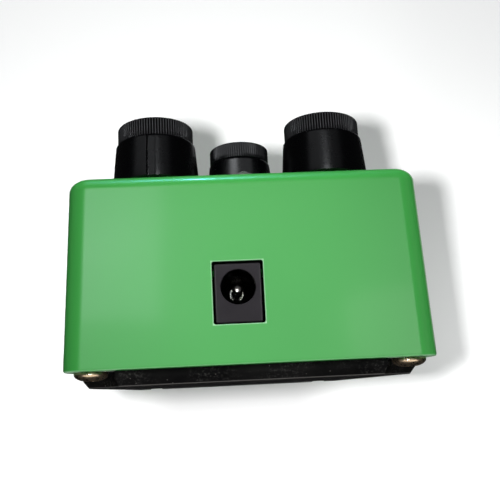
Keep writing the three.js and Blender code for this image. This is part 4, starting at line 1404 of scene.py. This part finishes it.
def stage_sheet(name, corners, upright):
    mesh = bpy.data.meshes.new(name)
    mesh.from_pydata([tuple(c * MM for c in corner) for corner in corners], [], [(0, 1, 2, 3)])
    mesh.update()
    sheet = link_object(name, mesh)
    mesh.materials.append(stage_material(name + "_white", upright))
    return sheet


REACH = 3000                     # half size of both sheets
WALL_Y, FLOOR_Z = -62.6, -0.02
wall = stage_sheet("stage_wall", [(-REACH, WALL_Y, -REACH), (-REACH, WALL_Y, REACH),
                                  (REACH, WALL_Y, REACH), (REACH, WALL_Y, -REACH)], upright=True)
floor = stage_sheet("stage_floor", [(-REACH, -REACH, FLOOR_Z), (REACH, -REACH, FLOOR_Z),
                                    (REACH, REACH, FLOOR_Z), (-REACH, REACH, FLOOR_Z)],
                    upright=False)


def build_world():
    """Full white to the camera, dim to other rays and nearly dark in reflections."""
    world = bpy.data.worlds.new("studio")
    bpy.context.scene.world = world
    nodes = Nodes(world)
    rays = nodes.node("LightPath").outputs
    strength = nodes.add(nodes.mul(rays["Is Camera Ray"], 0.78), 0.22)
    strength = nodes.sub(strength, nodes.mul(rays["Is Glossy Ray"], 0.205))
    nodes.node("OutputWorld", {0: nodes.out("Background", {0: BACKDROP_WHITE, 1: strength})})


build_world()

# ---------------------------------------------------------------- lights
# What a light shows in: shading only, reflections only, or both.
MATT, GLOSS, BOTH = "matt", "gloss", "both"
WHITE, WARM = (1, 1, 1), (1.0, 0.99, 0.97)


def area_light(name, shows, lit, at, aim, size, watts, colour):
    """size: mm, one number for a square or (width, height); lit: the only objects it lights."""
    lamp = bpy.data.lights.new(name, "AREA")
    lamp.energy = watts
    lamp.color = colour
    if isinstance(size, tuple):
        lamp.shape = "RECTANGLE"
        lamp.size, lamp.size_y = size[0] * MM, size[1] * MM
    else:
        lamp.size = size * MM
    ob = link_object(name, lamp)
    position = Vector(at) * MM
    direction = (Vector(aim) * MM - position).normalized()
    ob.location = position
    ob.rotation_euler = direction.to_track_quat("-Z", "Y").to_euler()
    ob.visible_diffuse = shows != GLOSS
    ob.visible_glossy = shows != MATT
    receivers = bpy.data.collections.new(name + "_lit")
    for target in lit:
        receivers.objects.link(target)
    ob.light_linking.receiver_collection = receivers


shells = [casing, treadle]
pieces = [ob for ob in bpy.context.scene.objects
          if ob.type == "MESH" and ob not in shells and ob not in (wall, floor)]
whole = shells + pieces
knobs = [ob for ob in pieces if "_knob" in ob.name]
rest = [ob for ob in whole if ob not in knobs and ob is not casing]
bright_materials = [MATERIALS[key] for key in ("nickel", "bronze", "zinc", "lamp", "steel")]
bright = [ob for ob in pieces
          if ob.data.materials and ob.data.materials[0] in bright_materials]
screws = [ob for ob in pieces if ob.name.startswith("base_screw")]
jacks = [ob for ob in pieces if "jack" in ob.name and "dc" not in ob.name]
lamp_parts = [ob for ob in pieces if ob.name.startswith("lamp")]

FLASH_AT, REAR_AIM, SIDE_AIM = (21.5, 204, 2), (4, 60, 20), (36, 23, 22)
# name, shows in, lit objects, position, aim, size, watts, colour
LIGHTS = (
    ("flash", MATT, whole, FLASH_AT, REAR_AIM, 5, 0.0325, WARM),
    ("overhead", MATT, whole, (-30, 600, 300), (0, 60, 24), 260, 1.95, WARM),
    ("sheen", GLOSS, shells, (120, 560, 165), (20, 60, 20), 140, 0.22, (0.86, 0.95, 1.0)),
    ("sheen_wide", GLOSS, shells, (20, 660, 120), (0, 60, 20), (640, 260), 0.70,
     (0.92, 0.98, 1.0)),
    ("edge_soft", GLOSS, shells, (30, 60, 620), (0, 60, 40), (380, 120), 0.24,
     (0.10, 0.70, 0.95)),
    ("sheen_low", GLOSS, shells, (-190, 640, 55), (-30, 60, 12), 140, 0.12, (1.0, 0.93, 0.96)),
    ("edge_light", GLOSS, shells, (20, 60, 620), (0, 60, 40), (60, 14), 0.66,
     (0.26, 0.90, 1.0)),
    ("backdrop_flash", MATT, [wall], FLASH_AT, (-10, -62, 20), 9, 0.76, WHITE),
    ("backdrop_soft", MATT, [wall], (0, 900, 60), (0, -62, 20), 900, 1.35, WHITE),
    ("side_fill", MATT, shells, (-420, 260, 60), (-35, 40, 20), 200, 0.30, WHITE),
    ("backdrop_side", MATT, [wall], (-130, 0, 0), (-60, -62, 20), 50, 0.040, WHITE),
    ("floor_soft", MATT, [floor], (0, 0, 900), (0, 0, 0), 700, 9.0, WHITE),
    ("fill_front", MATT, whole, (-160, -420, 620), (0, -20, 15), 420, 2.6, WHITE),
    ("top", MATT, whole, (60, 60, 620), (0, 0, 20), 300, 1.2, (0.90, 0.97, 1.0)),
    ("below", MATT, whole, (-120, -560, -520), (0, 0, 5), 500, 4.5, WHITE),
    ("gloss_casing", GLOSS, [casing], (-500, -620, 300), (0, -20, 15), 500, 0.5, WARM),
    *((f"gloss_side_{side}", GLOSS, jacks, (side * 560, 60, 200), (side * 36, 23, 22), 420, 0.5,
       WHITE) for side in SIDES),
    ("gloss_top", GLOSS, rest, (0, -330, 680), (0, 0, 20), 620, 0.7, (0.78, 0.95, 1.0)),
    ("gloss_knobs", GLOSS, knobs, (-260, -600, 520), (0, 0, 20), 400, 0.22, (0.95, 0.98, 1.0)),
    ("gloss_front", GLOSS, rest, (-350, -700, 420), (0, -20, 15), 600, 0.9, WARM),
    ("flash_glint", GLOSS, bright, FLASH_AT, REAR_AIM, 7, 0.10, WARM),
    ("screw_card", GLOSS, screws, (0, 330, -330), (0, 57, 2), (760, 300), 1.0,
     (1.0, 0.95, 0.86)),
    *(row for side in SIDES for row in (
        (f"low_jack_{side}", GLOSS, jacks, (side * 560, 40, -190), (side * 36, 23, 22), 460, 0.9,
         WHITE),
        (f"low_side_{side}", GLOSS, shells, (side * 700, 0, -330), (0, 0, 20), (700, 300), 0.6,
         WHITE))),
    ("low_front", GLOSS, shells, (0, -750, -350), (0, 0, 20), (700, 300), 0.6, WHITE),
    ("lamp_card", GLOSS, lamp_parts, (60, 300, 420), (0, 57, 44), 120, 0.8, (0.95, 1.0, 1.0)),
    ("lamp_flash", BOTH, lamp_parts, FLASH_AT, (0, 57, 44), 5, 0.07, WHITE),
    *(row for side in SIDES for row in (
        (f"socket_glint_{side}", GLOSS, [socket_collar], (2 + side * 46, 448, 56),
         (2, 48, 17.4), (44, 70), 3.4, WHITE),
        (f"socket_side_{side}", GLOSS, [power_socket], (2 + side * 320, 360, 30),
         (2, 61, 17.4), 220, 0.42, WHITE))),
)
for row in LIGHTS:
    area_light(*row)

STRIP_DISTANCE = 300


def strip_light(name, control, at, azimuths, elevation, half_height, radiance):
    """Panel reflected in one knob; angles in degrees, azimuths from +Y towards +X."""
    lit = [ob for ob in bpy.context.scene.objects
           if ob.name.startswith(control + "_knob") and ob.name not in frame["nodes"]]
    start, end = azimuths
    azimuth = math.radians((start + end) / 2)
    elevation = math.radians(elevation)
    direction = Vector((math.sin(azimuth) * math.cos(elevation),
                        math.cos(azimuth) * math.cos(elevation), math.sin(elevation)))
    width = 2 * STRIP_DISTANCE * math.tan(math.radians(abs(end - start) / 2))
    height = 2 * STRIP_DISTANCE * math.tan(math.radians(half_height))
    watts = math.pi * radiance * width * height * 1e-6
    area_light(name, GLOSS, lit, Vector(at) + direction * STRIP_DISTANCE, at, (width, height),
               watts, (0.93, 0.96, 1.0))


# name, knob, point faced, azimuths, elevation, half height in degrees, radiance
STRIPS = (
    ("strip_level_a", "level", (17.5, 56, 46), (10, 56), 40, 13, 0.40),
    ("strip_level_b", "level", (17.5, 56, 46), (-38, 10), 40, 13, 0.18),
    ("strip_drive_a", "drive", (-17.5, 56, 46), (4, 46), 40, 13, 0.38),
    ("strip_drive_b", "drive", (-17.5, 56, 46), (-42, 4), 40, 13, 0.16),
    ("strip_ribs_level", "level", (17.5, 56, 50), (-8, -2), 24, 5, 14.0),
    ("strip_ribs_drive", "drive", (-17.5, 56, 50), (-4, 2), 24, 5, 14.0),
    ("strip_tone_a", "tone", (0, 49, 44), (14, 38), 33, 14, 4.4),
    ("strip_tone_b", "tone", (0, 49, 44), (-45, 12), 33, 14, 0.6),
)
for row in STRIPS:
    strip_light(*row)


# ---------------------------------------------------------------- camera
def build_camera():
    """Low behind the pedal, looking forwards along -Y."""
    data = bpy.data.cameras.new("cam")
    data.sensor_width = 36
    data.lens = 55.68912
    data.clip_start = 0.01
    data.clip_end = 20
    camera = link_object("camera", data)
    bpy.context.scene.camera = camera
    right = Vector((-0.9980458269448887, 0.04020687947395535, -0.04783235474927207))
    down = Vector((0.039869286270917965, -0.17966939042472801, -0.9829187912318363))
    forward = Vector((-0.04811410739212538, -0.9829050396591593, 0.17771526575532431))
    at = Vector((6.459, HALF_L + 142.250, MAT_T - 4.6045)) * MM
    rows = [(right[i], -down[i], -forward[i], at[i]) for i in range(3)]
    camera.matrix_world = Matrix((*rows, (0, 0, 0, 1)))


build_camera()
bpy.context.scene.view_settings.view_transform = "Standard"
bpy.context.scene.view_settings.look = "None"
